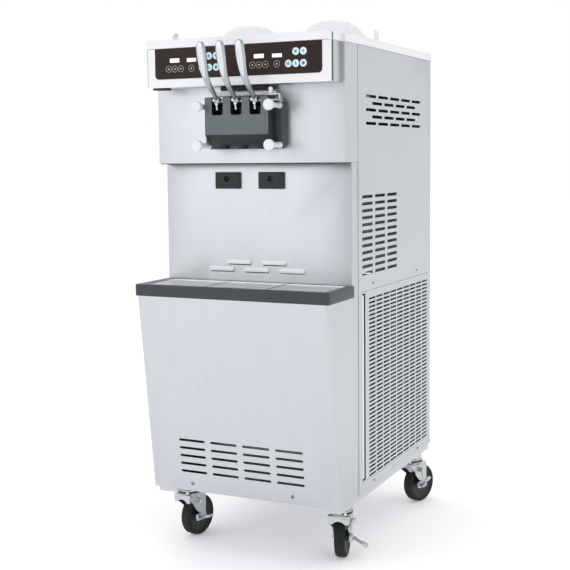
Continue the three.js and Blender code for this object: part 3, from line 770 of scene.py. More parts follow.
def pan_head(name: str, radius: float = 4.2, rise: float = 2.4) -> Workpiece:
    """Makes a cross-recessed pan-head screw on the sheet Y = 0, facing -Y.

    Args:
        name: Name of the piece.
        radius: Radius of the head.
        rise: Height of the head.

    Returns:
        The screw head.
    """
    crown = [(0.0, -rise), (radius * 0.45, -rise * 0.96), (radius * 0.8, -rise * 0.7), (radius, -rise * 0.2),
             (radius, 0.4), (0.0, 0.4)]
    head = Workpiece.turned(name, crown, Axis.Y, steps=24)
    arm = radius * 0.62
    for half_x, half_z in ((arm, radius * 0.14), (radius * 0.14, arm)):
        head.cut(Workpiece.block("recess", Box(-half_x, half_x, -rise * 1.2, -rise * 0.45, -half_z, half_z)))
    return head


# -------------------------------------------------------------------- cabinet
@dataclass
class SidePanels:
    """The louvred sheet on each side, with its screws."""

    seam: float = 1.5
    edge: float = 0.7
    slot_height: float = 8.8
    lip_height: float = 5.0
    lip_rise: float = 1.6
    upper_length: float = 82.0
    upper_pitch: float = 100.5
    upper_rows: tuple[float, ...] = (1345.0, 1325.5, 1306.0, 1286.5, 1267.0)
    upper_starts: tuple[float, float] = (-138.0, -88.0)
    lower_length: float = 85.0
    lower_pitch: float = 104.0
    lower_start: float = -171.0
    lower_top: float = 1056.0
    lower_step: float = 20.2
    lower_count: int = 12
    chamfer: float = 15.0
    screws: tuple[tuple[float, float], ...] = ((-84.0, 800.0), (311.0, 800.0), (-79.0, 204.0), (323.0, 204.0))

    def rows(self) -> list[tuple[float, float, float, int, float]]:
        """Returns each row of slots: first end, middle height, length, count and pitch."""
        upper = [(self.upper_starts[i % 2], z, self.upper_length, 5 - i % 2, self.upper_pitch)
                 for i, z in enumerate(self.upper_rows)]
        lower = [(self.lower_start, self.lower_top - i * self.lower_step, self.lower_length, 3, self.lower_pitch)
                 for i in range(self.lower_count)]
        return upper + lower

    def build(self) -> None:
        """Makes both panels, their louvre lips and their screws."""
        room = Box.of_node("right_side_panel")
        opening = Box.of_node("right_grille_door")
        sheet = Workpiece.block("side_panel_right", Box(room.x0, room.x1, room.y0 + self.seam, room.y1, room.z0, room.z1))
        sheet.along(Axis.X, lambda place, _: place.y > room.y1 - 1 and place.z < room.z0 + 1).bevel(self.chamfer, 1)
        sheet.rounded(self.edge)
        sheet.cut(Workpiece.block("opening", Box(room.x0 - 5, room.x1 + 5, opening.y0 - 1, opening.y1 + 1,
                                                 opening.z0 - 1, opening.z1 + 1)))
        tools, lips = [], []
        for start, z, length, count, pitch in self.rows():
            tool = slot_tool(length, self.slot_height, Axis.X, (room.x1, start, z), 20)
            tools.append(tool.arrayed(count, (0, pitch, 0)))
            lip = pressed_lip(length, self.lip_height, self.lip_rise, opens_up=True)
            lip.swung(Axis.Z, 90, (0, 0, 0)).moved(room.x1, start, z - self.slot_height / 2)
            lips.append(lip.arrayed(count, (0, pitch, 0)))
        sheet.cut(tools[0].gather(*tools[1:]))
        lips[0].gather(*lips[1:])
        lips[0].body.name = "side_louvre_lips_right"
        screws = []
        for y, z in self.screws:
            screws.append(pan_head("side_screws_right").swung(Axis.Z, 90, (0, 0, 0)).moved(room.x1, y, z))
        screws[0].gather(*screws[1:])
        # A black strip behind the seam between post and side panel paints the shade in the gap.
        edge = Workpiece.block("side_seam_right", Box(room.x1 - 12, room.x1 - 0.5, room.y0 - 0.4,
                                                      room.y0 + self.seam + 0.4, room.z0 + 2, room.z1 - 2)).rounded(0.3)
        for right, look, replaced in ((sheet, PANEL_STEEL, "side_panel"), (lips[0], PANEL_STEEL, ""),
                                      (screws[0], SCREW_STEEL, ""), (edge, SEAL_AND_SHADE_BLACK, "")):
            left = right.copy(right.body.name.replace("right", "left")).mirrored()
            for work, side in ((right, Side.RIGHT), (left, Side.LEFT)):
                work.finish(look, "cabinet", [f"{side.label}_{replaced}"] if replaced else [])


@dataclass
class GrilleDoors:
    """The hinged filter door on each side: punched sheet, pull bar and its dark channel."""

    columns: int = 9
    rows: int = 44
    pitch_y: float = 60.6
    pitch_z: float = 12.3
    web: float = 3.3
    first_y: float = -122.0
    first_z: float = 221.0
    thickness: float = 1.5
    channel: tuple[float, float] = (-172.5, -148.0)
    bar: tuple[float, float] = (-167.0, -154.0)
    end_margin: float = 5.0

    def punched_sheet(self, room: Box) -> Workpiece:
        """Makes the sheet with its round-ended slots.

        Args:
            room: The door's own box.

        Returns:
            The sheet.
        """
        corners = [(self.first_y, self.first_z), (self.first_y + self.pitch_y, self.first_z),
                   (self.first_y + self.pitch_y, self.first_z + self.pitch_z),
                   (self.first_y, self.first_z + self.pitch_z)]
        sheet = Workpiece.flat("grille_door_right", corners, Axis.X, room.x1)
        sheet.pick(Part.FACE, lambda place, _: True).inset(self.web).remove()
        hole = Box(0, 0, self.first_y + 1, self.first_y + self.pitch_y - 1, self.first_z + 1,
                   self.first_z + self.pitch_z - 1)
        sheet.pick(Part.VERT, lambda place, _: hole.y0 < place.y < hole.y1 and hole.z0 < place.z < hole.z1)
        sheet.bevel((self.pitch_z - 2 * self.web) * 0.45, 2, corners=True)
        sheet.arrayed(self.columns, (0, self.pitch_y, 0), merge=True)
        sheet.arrayed(self.rows, (0, 0, self.pitch_z), merge=True)
        y0, y1 = self.first_y, self.first_y + self.columns * self.pitch_y
        z0, z1 = self.first_z, self.first_z + self.rows * self.pitch_z
        for at, to in ((y0, self.channel[1]), (y1, room.y1)):
            sheet.along(Axis.Z, lambda place, _: abs(place.y - at) < 0.1).push(y=to - at, extrude=True)
        for at, to in ((z0, room.z0), (z1, room.z1)):
            sheet.along(Axis.Y, lambda place, _: abs(place.z - at) < 0.1).push(z=to - at, extrude=True)
        return sheet.face_outwards().walled(self.thickness, 1.0)

    def build(self) -> None:
        """Makes both doors."""
        room = Box.of_node("right_grille_door")
        sheet = self.punched_sheet(room)
        if max(vertex.co.x for vertex in sheet.body.data.vertices) > (room.x1 + 0.1) * MM:
            sheet.moved(x=-self.thickness)
        y0, y1 = self.channel
        strip = Workpiece.block("strip", Box(room.x1 - self.thickness, room.x1, room.y0, y1, room.z0, room.z1))
        strip.cut(Workpiece.block("slot", Box(room.x0 - 5, room.x1 + 5, y0, y1 + 5, room.z0 + self.end_margin,
                                              room.z1 - self.end_margin)))
        sheet.gather(strip)
        channel = Workpiece.block("grille_channel_right", Box(room.x1 - 14, room.x1 - 0.4, y0 - 0.5, y1 + 0.5,
                                                              room.z0 + self.end_margin - 0.5,
                                                              room.z1 - self.end_margin + 0.5))
        channel.pick(Part.FACE, lambda place, normal: normal.x > 0.9).inset(1.2).push(x=-11, extrude=True)
        b0, b1 = self.bar
        bar = Workpiece.block("grille_pull_right", Box(room.x1 - 10, room.x1 - 0.4, b0, b1, room.z0 + 9, room.z1 - 9))
        bar.along(Axis.Z, lambda place, _: place.x > room.x1 - 1).bevel(5, 5)
        bar.pick(Part.EDGE, lambda place, way: place.x > room.x1 - 5 and abs(way.z) < 0.5).bevel(2.5, 3)
        for right, look, replaced in ((sheet, PANEL_STEEL, "grille_door"), (channel, SHADOW_STEEL, ""),
                                      (bar, BRIGHT_STEEL, "")):
            left = right.copy(right.body.name.replace("right", "left")).mirrored()
            for work, side in ((right, Side.RIGHT), (left, Side.LEFT)):
                work.finish(look, f"grille_{side.label}", [f"{side.label}_{replaced}"] if replaced else [])


@dataclass
class FrontSkins:
    """Corner posts, head panel, splash panel and the leaning lower front panel."""

    sheet: float = 2.0
    seam: float = 1.2
    fold: float = 1.2
    splash_slots: tuple[tuple[float, float, float], ...] = (
        (-98.0, 865.0, 82.0), (16.0, 865.0, 82.0), (-157.0, 843.0, 84.0), (-42.0, 843.0, 84.0), (73.0, 843.0, 84.0))
    splash_lip: tuple[float, float] = (14.0, 7.0)
    vent_first: float = -200.0
    vent_pitch: float = 104.7
    vent_length: float = 86.0
    vent_low: float = 251.0
    vent_step: float = 24.0
    vent_rows: int = 5
    vent_columns: int = 4
    screws: tuple[tuple[float, float], ...] = ((-166.0, 213.0), (160.0, 213.0))
    front_radius: float = 14.0
    # Depth of the seam behind the lower front panel's sides, filled by black strips of painted shade.
    gasket: float = 1.8
    lower_front: float = -355.0

    def posts(self) -> None:
        """Makes the two folded corner posts."""
        room = Box.of_node("right_front_post")
        corners = [(room.x0, room.y0), (room.x1, room.y0), (room.x1, room.y1 - self.seam),
                   (room.x1 - self.sheet, room.y1 - self.seam), (room.x1 - self.sheet, room.y0 + self.sheet),
                   (room.x0, room.y0 + self.sheet)]
        right = Workpiece.prism("corner_post_right", corners, Axis.Z, (room.z0, room.z1)).rounded(0.8)
        left = right.copy("corner_post_left").mirrored()
        right.finish(PANEL_STEEL, "cabinet", ["right_front_post"])
        left.finish(PANEL_STEEL, "cabinet", ["left_front_post"])

    def head(self) -> None:
        """Makes the folded head panel behind the dispensing door."""
        room = Box.of_node("head_panel")
        shell = Workpiece.block("head_panel_skin", Box(room.x0, room.x1, room.y0, room.y1 - self.seam, room.z0, room.z1))
        shell.pick(Part.FACE, lambda place, normal: normal.y > 0.9 or normal.z > 0.9).remove()
        shell.along(Axis.Z, lambda place, _: place.y < room.y0 + 1).bevel(2.2, 3)
        shell.along(Axis.X, lambda place, _: place.y < room.y0 + 1 and place.z < room.z0 + 1).bevel(1.6, 2)
        shell.walled(self.sheet)
        for side in Side:
            bore = Box.of_node(f"freezing_cylinder_{side.label}")
            middle = ((bore.x0 + bore.x1) / 2, (bore.z0 + bore.z1) / 2)
            shell.cut(Workpiece.rod("bore", Axis.Y, (room.y0 - 5, room.y0 + 5), middle, 51, 40))
        shell.finish(PANEL_STEEL, "cabinet", ["head_panel"])
        # A black strip under the head panel's lower edge paints the shade beneath it.
        gasket = Workpiece.block("head_gasket", Box(room.x0 + 3, room.x1 - 3, room.y0 + 4, -251, room.z0 - 2.2, room.z0))
        gasket.rounded(0.6).finish(SEAL_AND_SHADE_BLACK, "cabinet")

    def splash(self) -> None:
        """Makes the splash panel with its down-facing louvres and drawer openings."""
        room = Box.of_node("splash_panel")
        face = room.y0
        sheet = Workpiece.block("splash_panel_skin", room).rounded(0.6)
        tools, lips = [], []
        height, rise = self.splash_lip
        for x, z, length in self.splash_slots:
            tools.append(slot_tool(length - 6, 5, Axis.Y, (x + 3, face, z - 6), 20))
            lips.append(puffed_hood(length, height, rise).moved(x, face, z - 5))
        for side in Side:
            drawer = Box.of_node(f"drip_drawer_{side.label}")
            tools.append(Workpiece.block("opening", Box(drawer.x0 + 5, drawer.x1 - 5, face - 10, face + 10,
                                                        drawer.z0 + 5, drawer.z1 - 5)))
        sheet.cut(tools[0].gather(*tools[1:]))
        sheet.finish(PANEL_STEEL, "cabinet", ["splash_panel"])
        lips[0].gather(*lips[1:]).body.name = "splash_louvre_lips"
        # The stainless hoods are finished in flat white as a painted highlight.
        lips[0].finish(HOOD_PAINTED_HIGHLIGHT, "cabinet")

    def lower_front_panel(self) -> None:
        """Makes the leaning panel under the drip tray, its vents and its two screws."""
        room = Box.of_node("front_panel")
        run = self.lower_front - room.y0
        tilt = math.degrees(math.atan2(run, room.z1 - room.z0))
        shell = Workpiece.block("lower_front_skin", Box(room.x0, room.x1, room.y0, room.y1 - self.gasket, room.z0,
                                                        room.z1))
        shell.along(Axis.X, lambda place, _: place.y < room.y0 + 1 and place.z < room.z0 + 1).push(y=run)
        shell.pick(Part.EDGE, lambda place, way: abs(way.z) > 0.9 and place.y < room.y1 - 40)
        shell.bevel(self.front_radius, 8)
        shell.pick(Part.FACE, lambda place, normal: normal.y > 0.9 or normal.z > 0.9).remove()
        shell.pick(Part.EDGE, lambda place, way: place.z < room.z0 + 0.5 and place.y < room.y1 - 1).bevel(1.6, 2)
        shell.walled(self.sheet)
        row_step = (0, -self.vent_step * math.tan(math.radians(tilt)), self.vent_step)
        face = self.lower_front - (self.vent_low - room.z0) * math.tan(math.radians(tilt))
        tool = slot_tool(self.vent_length, 7.4, Axis.Y, (self.vent_first, face, self.vent_low), 24)
        shell.cut(tool.arrayed(self.vent_columns, (self.vent_pitch, 0, 0)).arrayed(self.vent_rows, row_step))
        shell.finish(PANEL_STEEL, "cabinet", ["front_panel"])
        # Black strips in the seams behind the panel's sides paint the shade in the gaps.
        seal = Workpiece.block("lower_front_gasket", Box(room.x1 - 12, room.x1 - 0.5, room.y1 - self.gasket - 0.3,
                                                         room.y1 - 0.1, room.z0 + 1, room.z1 - 1)).rounded(0.3)
        seal.gather(seal.copy("seal").mirrored()).finish(SEAL_AND_SHADE_BLACK, "cabinet")
        for index, (x, z) in enumerate(self.screws):
            at = self.lower_front - (z - room.z0) * math.tan(math.radians(tilt))
            screw = pan_head(f"lower_front_screw_{index + 1}", 5.6, 3.0).swung(Axis.X, tilt, (0, 0, 0))
            screw.moved(x, at, z).finish(SCREW_STEEL, "cabinet")

    def build(self) -> None:
        """Makes all front skins."""
        self.posts()
        self.head()
        self.splash()
        self.lower_front_panel()


@dataclass
class TopAndRear:
    """The folded top cover with its lid collars and clips, and the slotted rear panel."""

    band_round: float = 2.5
    sheet: float = 2.0
    deck_top: float = 1510.0
    prow_step: float = -294.0
    prow_half: float = 290.0
    prow_front: float = -366.0
    collar: tuple[float, float, float] = (114.0, 124.0, 5.0)
    clip_rows: tuple[float, float] = (-214.0, -10.0)
    clip_x: float = 284.0
    clip_width: float = 34.0
    clip_top: float = 33.0
    rear_rows: int = 6
    rear_low: float = 620.0
    rear_step: float = 30.0

    def cover(self) -> None:
        """Makes the cover: a T-shaped tray turned upside down."""
        room = Box.of_node("top_cover")
        deck = self.deck_top
        outline = [(room.x0, room.y1), (room.x0, self.prow_step), (-self.prow_half, self.prow_step),
                   (-self.prow_half, self.prow_front), (self.prow_half, self.prow_front),
                   (self.prow_half, self.prow_step), (room.x1, self.prow_step), (room.x1, room.y1)]
        shell = Workpiece.prism("top_cover_skin", outline, Axis.Z, (room.z0, deck))
        shell.pick(Part.FACE, lambda place, normal: normal.z < -0.9).remove()
        shell.pick(Part.EDGE, lambda place, way: place.z > deck - 1 or abs(way.z) > 0.9).bevel(self.band_round, 3)
        shell.walled(self.sheet)
        inner, outer, rise = self.collar
        collars = []
        for side in Side:
            hopper = Box.of_node(f"hopper_{side.label}")
            middle = ((hopper.x0 + hopper.x1) / 2, (hopper.y0 + hopper.y1) / 2)
            shell.cut(Workpiece.rod("mouth", Axis.Z, (room.z0 - 5, deck + 9), middle, inner, 64))
            ring = [(inner, deck - self.sheet), (outer + 3, deck - 0.4), (outer + 1, deck + 0.8), (outer, deck + rise - 1),
                    (outer - 1.2, deck + rise), (inner, deck + rise)]
            collars.append(Workpiece.turned("lid_collars", ring, Axis.Z, middle, 64))
        collars[0].gather(collars[1]).finish(COVER_WHITE, "cabinet")
        shell.finish(COVER_WHITE, "cabinet", ["top_cover"])

    def clips(self) -> None:
        """Makes the four lid clips that stand on the deck."""
        for side in Side:
            for index, y in enumerate(self.clip_rows):
                x = self.clip_x * side.value
                post = Workpiece.block(f"lid_clip_{side.label}_{index + 1}", Box(
                    x - 1.5, x + 1.5, y - self.clip_width / 2, y + self.clip_width / 2, self.deck_top - 1,
                    self.deck_top + self.clip_top))
                post.pick(Part.FACE, lambda place, normal: normal.x * side.value < -0.9 and place.z > 0)
                post.pick(Part.EDGE, lambda place, way: abs(way.x) > 0.9 and place.z > self.deck_top + 5).bevel(9, 5)
                post.pick(Part.FACE, lambda place, normal: normal.z > 0.9).push(x=-7 * side.value, extrude=True)
                foot = Workpiece.block("foot", Box(min(x, x - side.value * 16), max(x, x - side.value * 16),
                                                   y - self.clip_width / 2, y + self.clip_width / 2,
                                                   self.deck_top - 0.5, self.deck_top + 1.6))
                post.face_outwards().gather(foot).rounded(0.5, 2)
                post.finish(COVER_WHITE, "cabinet")

    def rear(self) -> None:
        """Makes the rear sheet with long louvres."""
        room = Box.of_node("rear_panel")
        sheet = Workpiece.block("rear_panel_skin", room).rounded(0.7)
        gland = Box.of_node("cable_gland")
        tools = [Workpiece.rod("inlet", Axis.Y, (room.y0 - 5, room.y1 + 5),
                               ((gland.x0 + gland.x1) / 2, (gland.z0 + gland.z1) / 2), 13, 32)]
        slot = slot_tool(360, 8, Axis.Y, (-180, room.y1, self.rear_low), 20)
        tools.append(slot.arrayed(self.rear_rows, (0, 0, self.rear_step)))
        sheet.cut(tools[0].gather(*tools[1:])).finish(PANEL_STEEL, "cabinet", ["rear_panel"])
        lips = pressed_lip(360, 12, 4, opens_up=False).swung(Axis.Z, 180, (180, 0, 0))
        lips.moved(-180, room.y1, self.rear_low - 1).arrayed(self.rear_rows, (0, 0, self.rear_step))
        lips.body.name = "rear_louvre_lips"
        lips.finish(PANEL_STEEL, "cabinet")
        screws = [pan_head("rear_screws").swung(Axis.Z, 180, (0, 0, 0)).moved(x, room.y1, z)
                  for x in (-280, 280) for z in (220, 520, 840, 1160, 1460)]
        screws[0].gather(*screws[1:]).finish(BRIGHT_STEEL, "cabinet")

    def build(self) -> None:
        """Makes the cover, its clips and the rear."""
        self.cover()
        self.clips()
        self.rear()


# -------------------------------------------------------------------- console
@dataclass
class Console:
    """The control console: white bezel, dark strips of painted shade at its corners, brown overlay with its windows and
    keys.
    """

    bezel: float = 4.0
    strip: float = 9.0
    overlay_half: float = 263.0
    overlay_low: float = 24.5
    overlay_radius: float = 12.0
    set_centres: tuple[float, float] = (-135.0, 135.0)
    windows: tuple[tuple[float, float, float, float], ...] = ((-62.0, 1450.3, 31.0, 11.5), (-6.3, 1449.6, 30.0, 10.2))
    rings: tuple[tuple[float, float], ...] = ((-82.3, 1426.5), (-62.0, 1426.5), (-41.8, 1426.5), (-7.0, 1426.5))
    keys: tuple[tuple[float, float], ...] = ((50.2, 1458.2), (72.8, 1458.2), (27.8, 1426.0), (50.2, 1426.0),
                                             (72.8, 1426.0))
    ring_radius: float = 9.4
    key_radius: float = 10.3

    def housing(self) -> None:
        """Makes the housing shell, the front bezel and the dark strips of painted shade at its corners and on the
        bezel's left edge.
        """
        room = Box.of_node("console_housing")
        back = room.y1
        shell = Workpiece.block("console_shell", Box(room.x0, room.x1, room.y0 + self.bezel, back, 1374, room.z1))
        shell.pick(Part.FACE, lambda place, normal: normal.y > 0.9 or normal.z > 0.9).remove()
        shell.walled(2.0).rounded(0.7)
        shell.finish(PANEL_STEEL, "cabinet", ["console_housing"])
        cover = Box.of_node("top_cover")
        bezel = Workpiece.block("console_bezel", Box(room.x0 + 0.6, room.x1 - 0.6, room.y0, room.y0 + self.bezel, 1374.0,
                                                     room.z1))
        bezel.rounded(1.8, 3).finish(COVER_WHITE, "cabinet")
        # A dark strip on the bezel's left edge paints its dark reflection.
        corner = Workpiece.block("console_edge_strip", Box(room.x0 + 0.2, room.x0 + 1.9, room.y0 + 0.1, room.y0 + self.bezel,
                                                           1376.0, room.z1 - 1))
        corner.rounded(0.5).finish(RIM_AND_SHADE_GREY, "cabinet")
        bracket = Workpiece.block("console_bracket", Box(-277, -234, room.y0 + 6, room.y0 + 40, 1368.5, 1374.5))
        bracket.rounded(1.4, 2).finish(SEAL_AND_SHADE_BLACK, "cabinet")
        # Dark strips at the console's and cover's corners paint the shade of the gap behind the bezel.
        for side in Side:
            x = sorted((side.value * (room.x1 - 1.2), side.value * (room.x1 + 0.15)))
            low = Workpiece.block(f"console_corner_strip_{side.label}", Box(
                x[0], x[1], room.y0 + self.bezel - 1, room.y0 + self.bezel + self.strip, 1375.5, room.z1 - 0.5))
            low.rounded(0.4).finish(RIM_AND_SHADE_GREY, "cabinet")
            top = Workpiece.block(f"cover_corner_strip_{side.label}", Box(
                x[0], x[1], cover.y0 + self.bezel, cover.y0 + self.bezel + self.strip, cover.z0 + 1.5, 1506.0))
            top.rounded(0.4).finish(RIM_AND_SHADE_GREY, "cabinet")

    def overlay(self) -> None:
        """Makes the printed film, its windows, round keys and their marks."""
        room = Box.of_node("control_overlay")
        half, low, high, radius = self.overlay_half, room.z0, room.z1, self.overlay_radius
        outline = [(half, high), (-half, high), *arc((-half + radius, low + radius), radius, 180, 270, 8),
                   *arc((half - radius, low + radius), radius, 270, 360, 8)]
        film = Workpiece.prism("control_overlay_film", outline, Axis.Y, (room.y0, room.y1))
        film.rounded(0.3, 2).finish(OVERLAY_BROWN, "cabinet", ["control_overlay"])
        face = room.y0
        windows, rings, keys, marks = [], [], [], []
        for centre in self.set_centres:
            for x, z, wide, high in self.windows:
                outline = rounded_outline(centre + x - wide / 2, centre + x + wide / 2, z - high / 2, z + high / 2, 1.2, 3)
                windows.append(Workpiece.prism("control_windows", outline, Axis.Y, (face - 0.5, face + 0.2)))
            for x, z in self.rings:
                rings.append(self.ring(centre + x, z, face))
                marks_here = self.tick(centre + x, z, face)
                rings.append(marks_here)
            for index, (x, z) in enumerate(self.keys):
                dome = [(0, face - 0.7), (self.key_radius - 1.5, face - 0.6), (self.key_radius, face - 0.1),
                        (self.key_radius, face + 0.2), (0, face + 0.2)]
                keys.append(Workpiece.turned("control_keys", dome, Axis.Y, (centre + x, z), 32))
                marks.extend(self.icon(index, centre + x, z, face - 0.7))
        windows[0].gather(*windows[1:]).finish(WINDOW_WHITE, "cabinet")
        rings[0].gather(*rings[1:]).finish(KEY_LINE, "cabinet")
        keys[0].gather(*keys[1:]).finish(KEY_BLUE, "cabinet")
        marks[0].gather(*marks[1:]).finish(KEY_MARK, "cabinet")

    def ring(self, x: float, z: float, face: float) -> Workpiece:
        """Makes the printed ring of an outlined key."""
        band = [(self.ring_radius - 1.0, face + 0.1), (self.ring_radius - 1.0, face - 0.3),
                (self.ring_radius, face - 0.3), (self.ring_radius, face + 0.1)]
        return Workpiece.turned("control_key_rings", band, Axis.Y, (x, z), 32)

    def tick(self, x: float, z: float, face: float) -> Workpiece:
        """Makes the small plain lozenge in the middle of an outlined key."""
        points = arc((x, z), 3.4, 0, 270, 3)
        return Workpiece.prism("control_key_lozenge", points, Axis.Y, (face - 0.3, face + 0.1))

    def icon(self, kind: int, x: float, z: float, face: float) -> list[Workpiece]:
        """Makes the plain picture on a pale key: star, cross, wave bars, cone or drop."""
        bars = []
        angles = {0: (0, 60, 120), 1: (0, 90), 2: (0,), 3: (45, 90), 4: (0, 45, 90, 135)}[kind]
        for degrees in angles:
            bar = Workpiece.block("control_key_marks", Box(x - 5.2, x + 5.2, face - 0.25, face + 0.3, z - 0.8, z + 0.8))
            bars.append(bar.swung(Axis.Y, degrees, (x, 0, z)))
        if kind == 2:
            bars += [bars[0].copy("control_key_marks").moved(z=step) for step in (-3.2, 3.2)]
        return bars

    def latch(self) -> None:
        """Makes the dark lever stop under the console."""
        room = Box(-66, 80, -336, -318, 1361, 1374)
        stop = Workpiece.block("lever_stop", room)
        stop.pick(Part.FACE, lambda place, normal: normal.z < -0.9).inset(3, 0).push(z=2.5, extrude=True)
        stop.face_outwards().rounded(1.8, 3).finish(SEAL_AND_SHADE_BLACK, "cabinet")
        knob = Workpiece.turned("lever_stop_cap", [(0, 78), (7, 78), (9, 80), (9, 86), (6, 89), (0, 89)], Axis.X,
                                (-327, 1366), 24)
        knob.finish(SEAL_AND_SHADE_BLACK, "cabinet")
        guide = Workpiece.block("lever_guide", Box(-92, 103, -331, -318, 1345, 1357))
        guide.rounded(2.2, 3).finish(COVER_WHITE, "cabinet")

    def build(self) -> None:
        """Makes the whole console."""
        self.housing()
        self.overlay()
        self.latch()


# -------------------------------------------------------------------- serving side
@dataclass
class DispensingHead:
    """The moulded door with its nuts, pivot pin, draw levers and draw valves."""

    plate_radius: float = 16.0
    plate_front: float = -322.0
    block_front: float = -368.0
    block_half: float = 101.0
    block_top: float = 1342.0
    fold: float = 1236.0
    block_low: float = 1207.0
    spout_radius: float = 12.8
    notch_half: float = 18.0
    notch_floor: float = 1291.0
    notch_back: float = -314.0
    path: tuple[tuple[float, float], ...] = (
        (-366.0, 1331.0), (-386.0, 1351.0), (-412.5, 1371.0), (-429.5, 1392.0), (-440.0, 1413.0), (-448.0, 1439.0),
        (-454.0, 1463.0), (-457.5, 1478.0), (-459.5, 1485.5), (-460.6, 1489.5))
    widths: tuple[float, ...] = (12.0, 14.0, 17.0, 19.0, 25.0, 30.5, 31.0, 28.0, 21.0, 10.0)
    thicks: tuple[float, ...] = (10.0, 10.5, 11.5, 12.5, 13.0, 13.0, 12.5, 11.5, 8.5, 4.0)
    sides: int = 16

    def door(self) -> None:
        """Makes the door: plate, block with its slanted underside, spouts, notches and bores."""
        room = Box.of_node("dispensing_door")
        plate = Workpiece.prism("dispensing_door_body", rounded_outline(room.x0, room.x1, 1196, 1333, self.plate_radius, 8),
                                Axis.Y, (self.plate_front, room.y1))
        plate.pick(Part.EDGE, lambda place, way: place.y < self.plate_front + 0.5).bevel(5, 4)
        profile = [(self.plate_front + 4, self.block_low), (self.plate_front + 4, self.block_top),
                   (self.block_front, self.block_top), (self.block_front, self.fold),
                   (self.plate_front - 20, self.block_low)]
        block = Workpiece.prism("block", profile, Axis.X, (-self.block_half, self.block_half)).rounded(2.2, 3)
        plate.weld(block)
        valves = [Box.of_node(f"draw_valve_{place}") for place in ("left", "middle", "right")]
        for valve in valves:
            x, y = (valve.x0 + valve.x1) / 2, (valve.y0 + valve.y1) / 2
            plate.weld(Workpiece.rod("spout", Axis.Z, (1196, 1240), (x, y), self.spout_radius, 40))
            plate.cut(Workpiece.rod("bore", Axis.Z, (1190, 1300), (x, y), (valve.x1 - valve.x0) / 2 + 0.5, 32))
            notch = Workpiece.block("notch", Box(x - self.notch_half, x + self.notch_half, self.block_front - 5,
                                                 self.notch_back, self.notch_floor, 1360))
            notch.along(Axis.Y, lambda place, _: place.z < self.notch_floor + 1).bevel(7, 5)
            plate.cut(notch)
        pin = Box.of_node("pivot_pin")
        plate.cut(Workpiece.rod("pin_bore", Axis.X, (pin.x0 - 1, 130), (-358, 1330), 4.5, 24))
        for nut in self.nut_names():
            spot = Box.of_node(nut)
            plate.cut(Workpiece.rod("stud", Axis.Y, (self.plate_front - 5, room.y1 + 5),
                                    ((spot.x0 + spot.x1) / 2, (spot.z0 + spot.z1) / 2), 4.8, 20))
        plate.finish(DOOR_GREY, "cabinet", ["dispensing_door"])

    def nut_names(self) -> list[str]:
        """Returns the frame's names of the four thumb nuts."""
        return [f"thumb_nut_{row}_{side.label}" for row in ("upper", "lower") for side in Side]

    def nuts(self) -> None:
        """Makes the thumb nuts: domed heads, long stems and studs."""
        front = -397.0
        profile = [(0, front), (11.5, front), (14.6, front + 1.2), (15.5, front + 3.2), (15.5, front + 10.6),
                   (14.2, front + 13.4), (9.5, front + 14.4), (8.2, front + 16), (7.8, front + 22), (7.8, -323.5),
                   (9.0, -322.4), (4.0, -322.4), (4.0, -283), (0, -283)]
        first = Box.of_node(self.nut_names()[0])
        x0, z0 = (first.x0 + first.x1) / 2, (first.z0 + first.z1) / 2
        pattern = Workpiece.turned("thumb_nut", profile, Axis.Y, (x0, z0), 40)
        for name in self.nut_names():
            spot = Box.of_node(name)
            work = pattern.copy(f"{name}_body").moved((spot.x0 + spot.x1) / 2 - x0, 0, (spot.z0 + spot.z1) / 2 - z0)
            work.finish(KNOB_WHITE, name.replace("thumb_nut", "nut"), [name])
        pattern.scrap()

    def pin(self) -> None:
        """Makes the pivot pin with its bright end plate and pull knob."""
        room = Box.of_node("pivot_pin")
        y, z = -358.0, 1330.0
        shaft = Workpiece.rod("pivot_pin_rod", Axis.X, (room.x0, 136), (y, z), 4.0, 24)
        plate = Workpiece.block("tab", Box(132, 138, y - 8, y + 8, z - 6, z + 18))
        plate.along(Axis.X, lambda place, _: place.z > z + 10).bevel(6, 4)
        plate.rounded(0.8)
        bar = Workpiece.block("bar", Box(88, 136, y - 5, y + 5, 1343.0, 1348.5)).rounded(1.4, 2)
        shaft.gather(plate, bar).finish(SHADED_CHROME, "cabinet", ["pivot_pin"])
        wing = Workpiece.turned("pivot_pin_knob", [(0, 1348), (6, 1348.2), (7, 1351), (5, 1354), (6.5, 1360), (5.5, 1365),
                                                   (0, 1366.5)], Axis.Z, (104, y), 24)
        wing.finish(KNOB_WHITE, "cabinet")

    def ring(self, index: int, x: float) -> list[Vector]:
        """Returns the corners of the lever's cross-section at one place of its path.

        Args:
            index: Place on the path.
            x: Middle of the lever.

        Returns:
            The corners in metres.
        """
        before = self.path[max(index - 1, 0)]
        after = self.path[min(index + 1, len(self.path) - 1)]
        way = Vector((after[0] - before[0], after[1] - before[1])).normalized()
        across = (-way.y, way.x)
        corners = []
        for side in range(self.sides):
            angle = 2 * math.pi * side / self.sides
            wide = math.copysign(abs(math.cos(angle)) ** 0.8, math.cos(angle)) * self.widths[index] / 2
            deep = math.copysign(abs(math.sin(angle)) ** 0.8, math.sin(angle)) * self.thicks[index] / 2
            y = self.path[index][0] + across[0] * deep
            z = self.path[index][1] + across[1] * deep
            corners.append(Vector((x + wide, y, z)) * MM)
        return corners

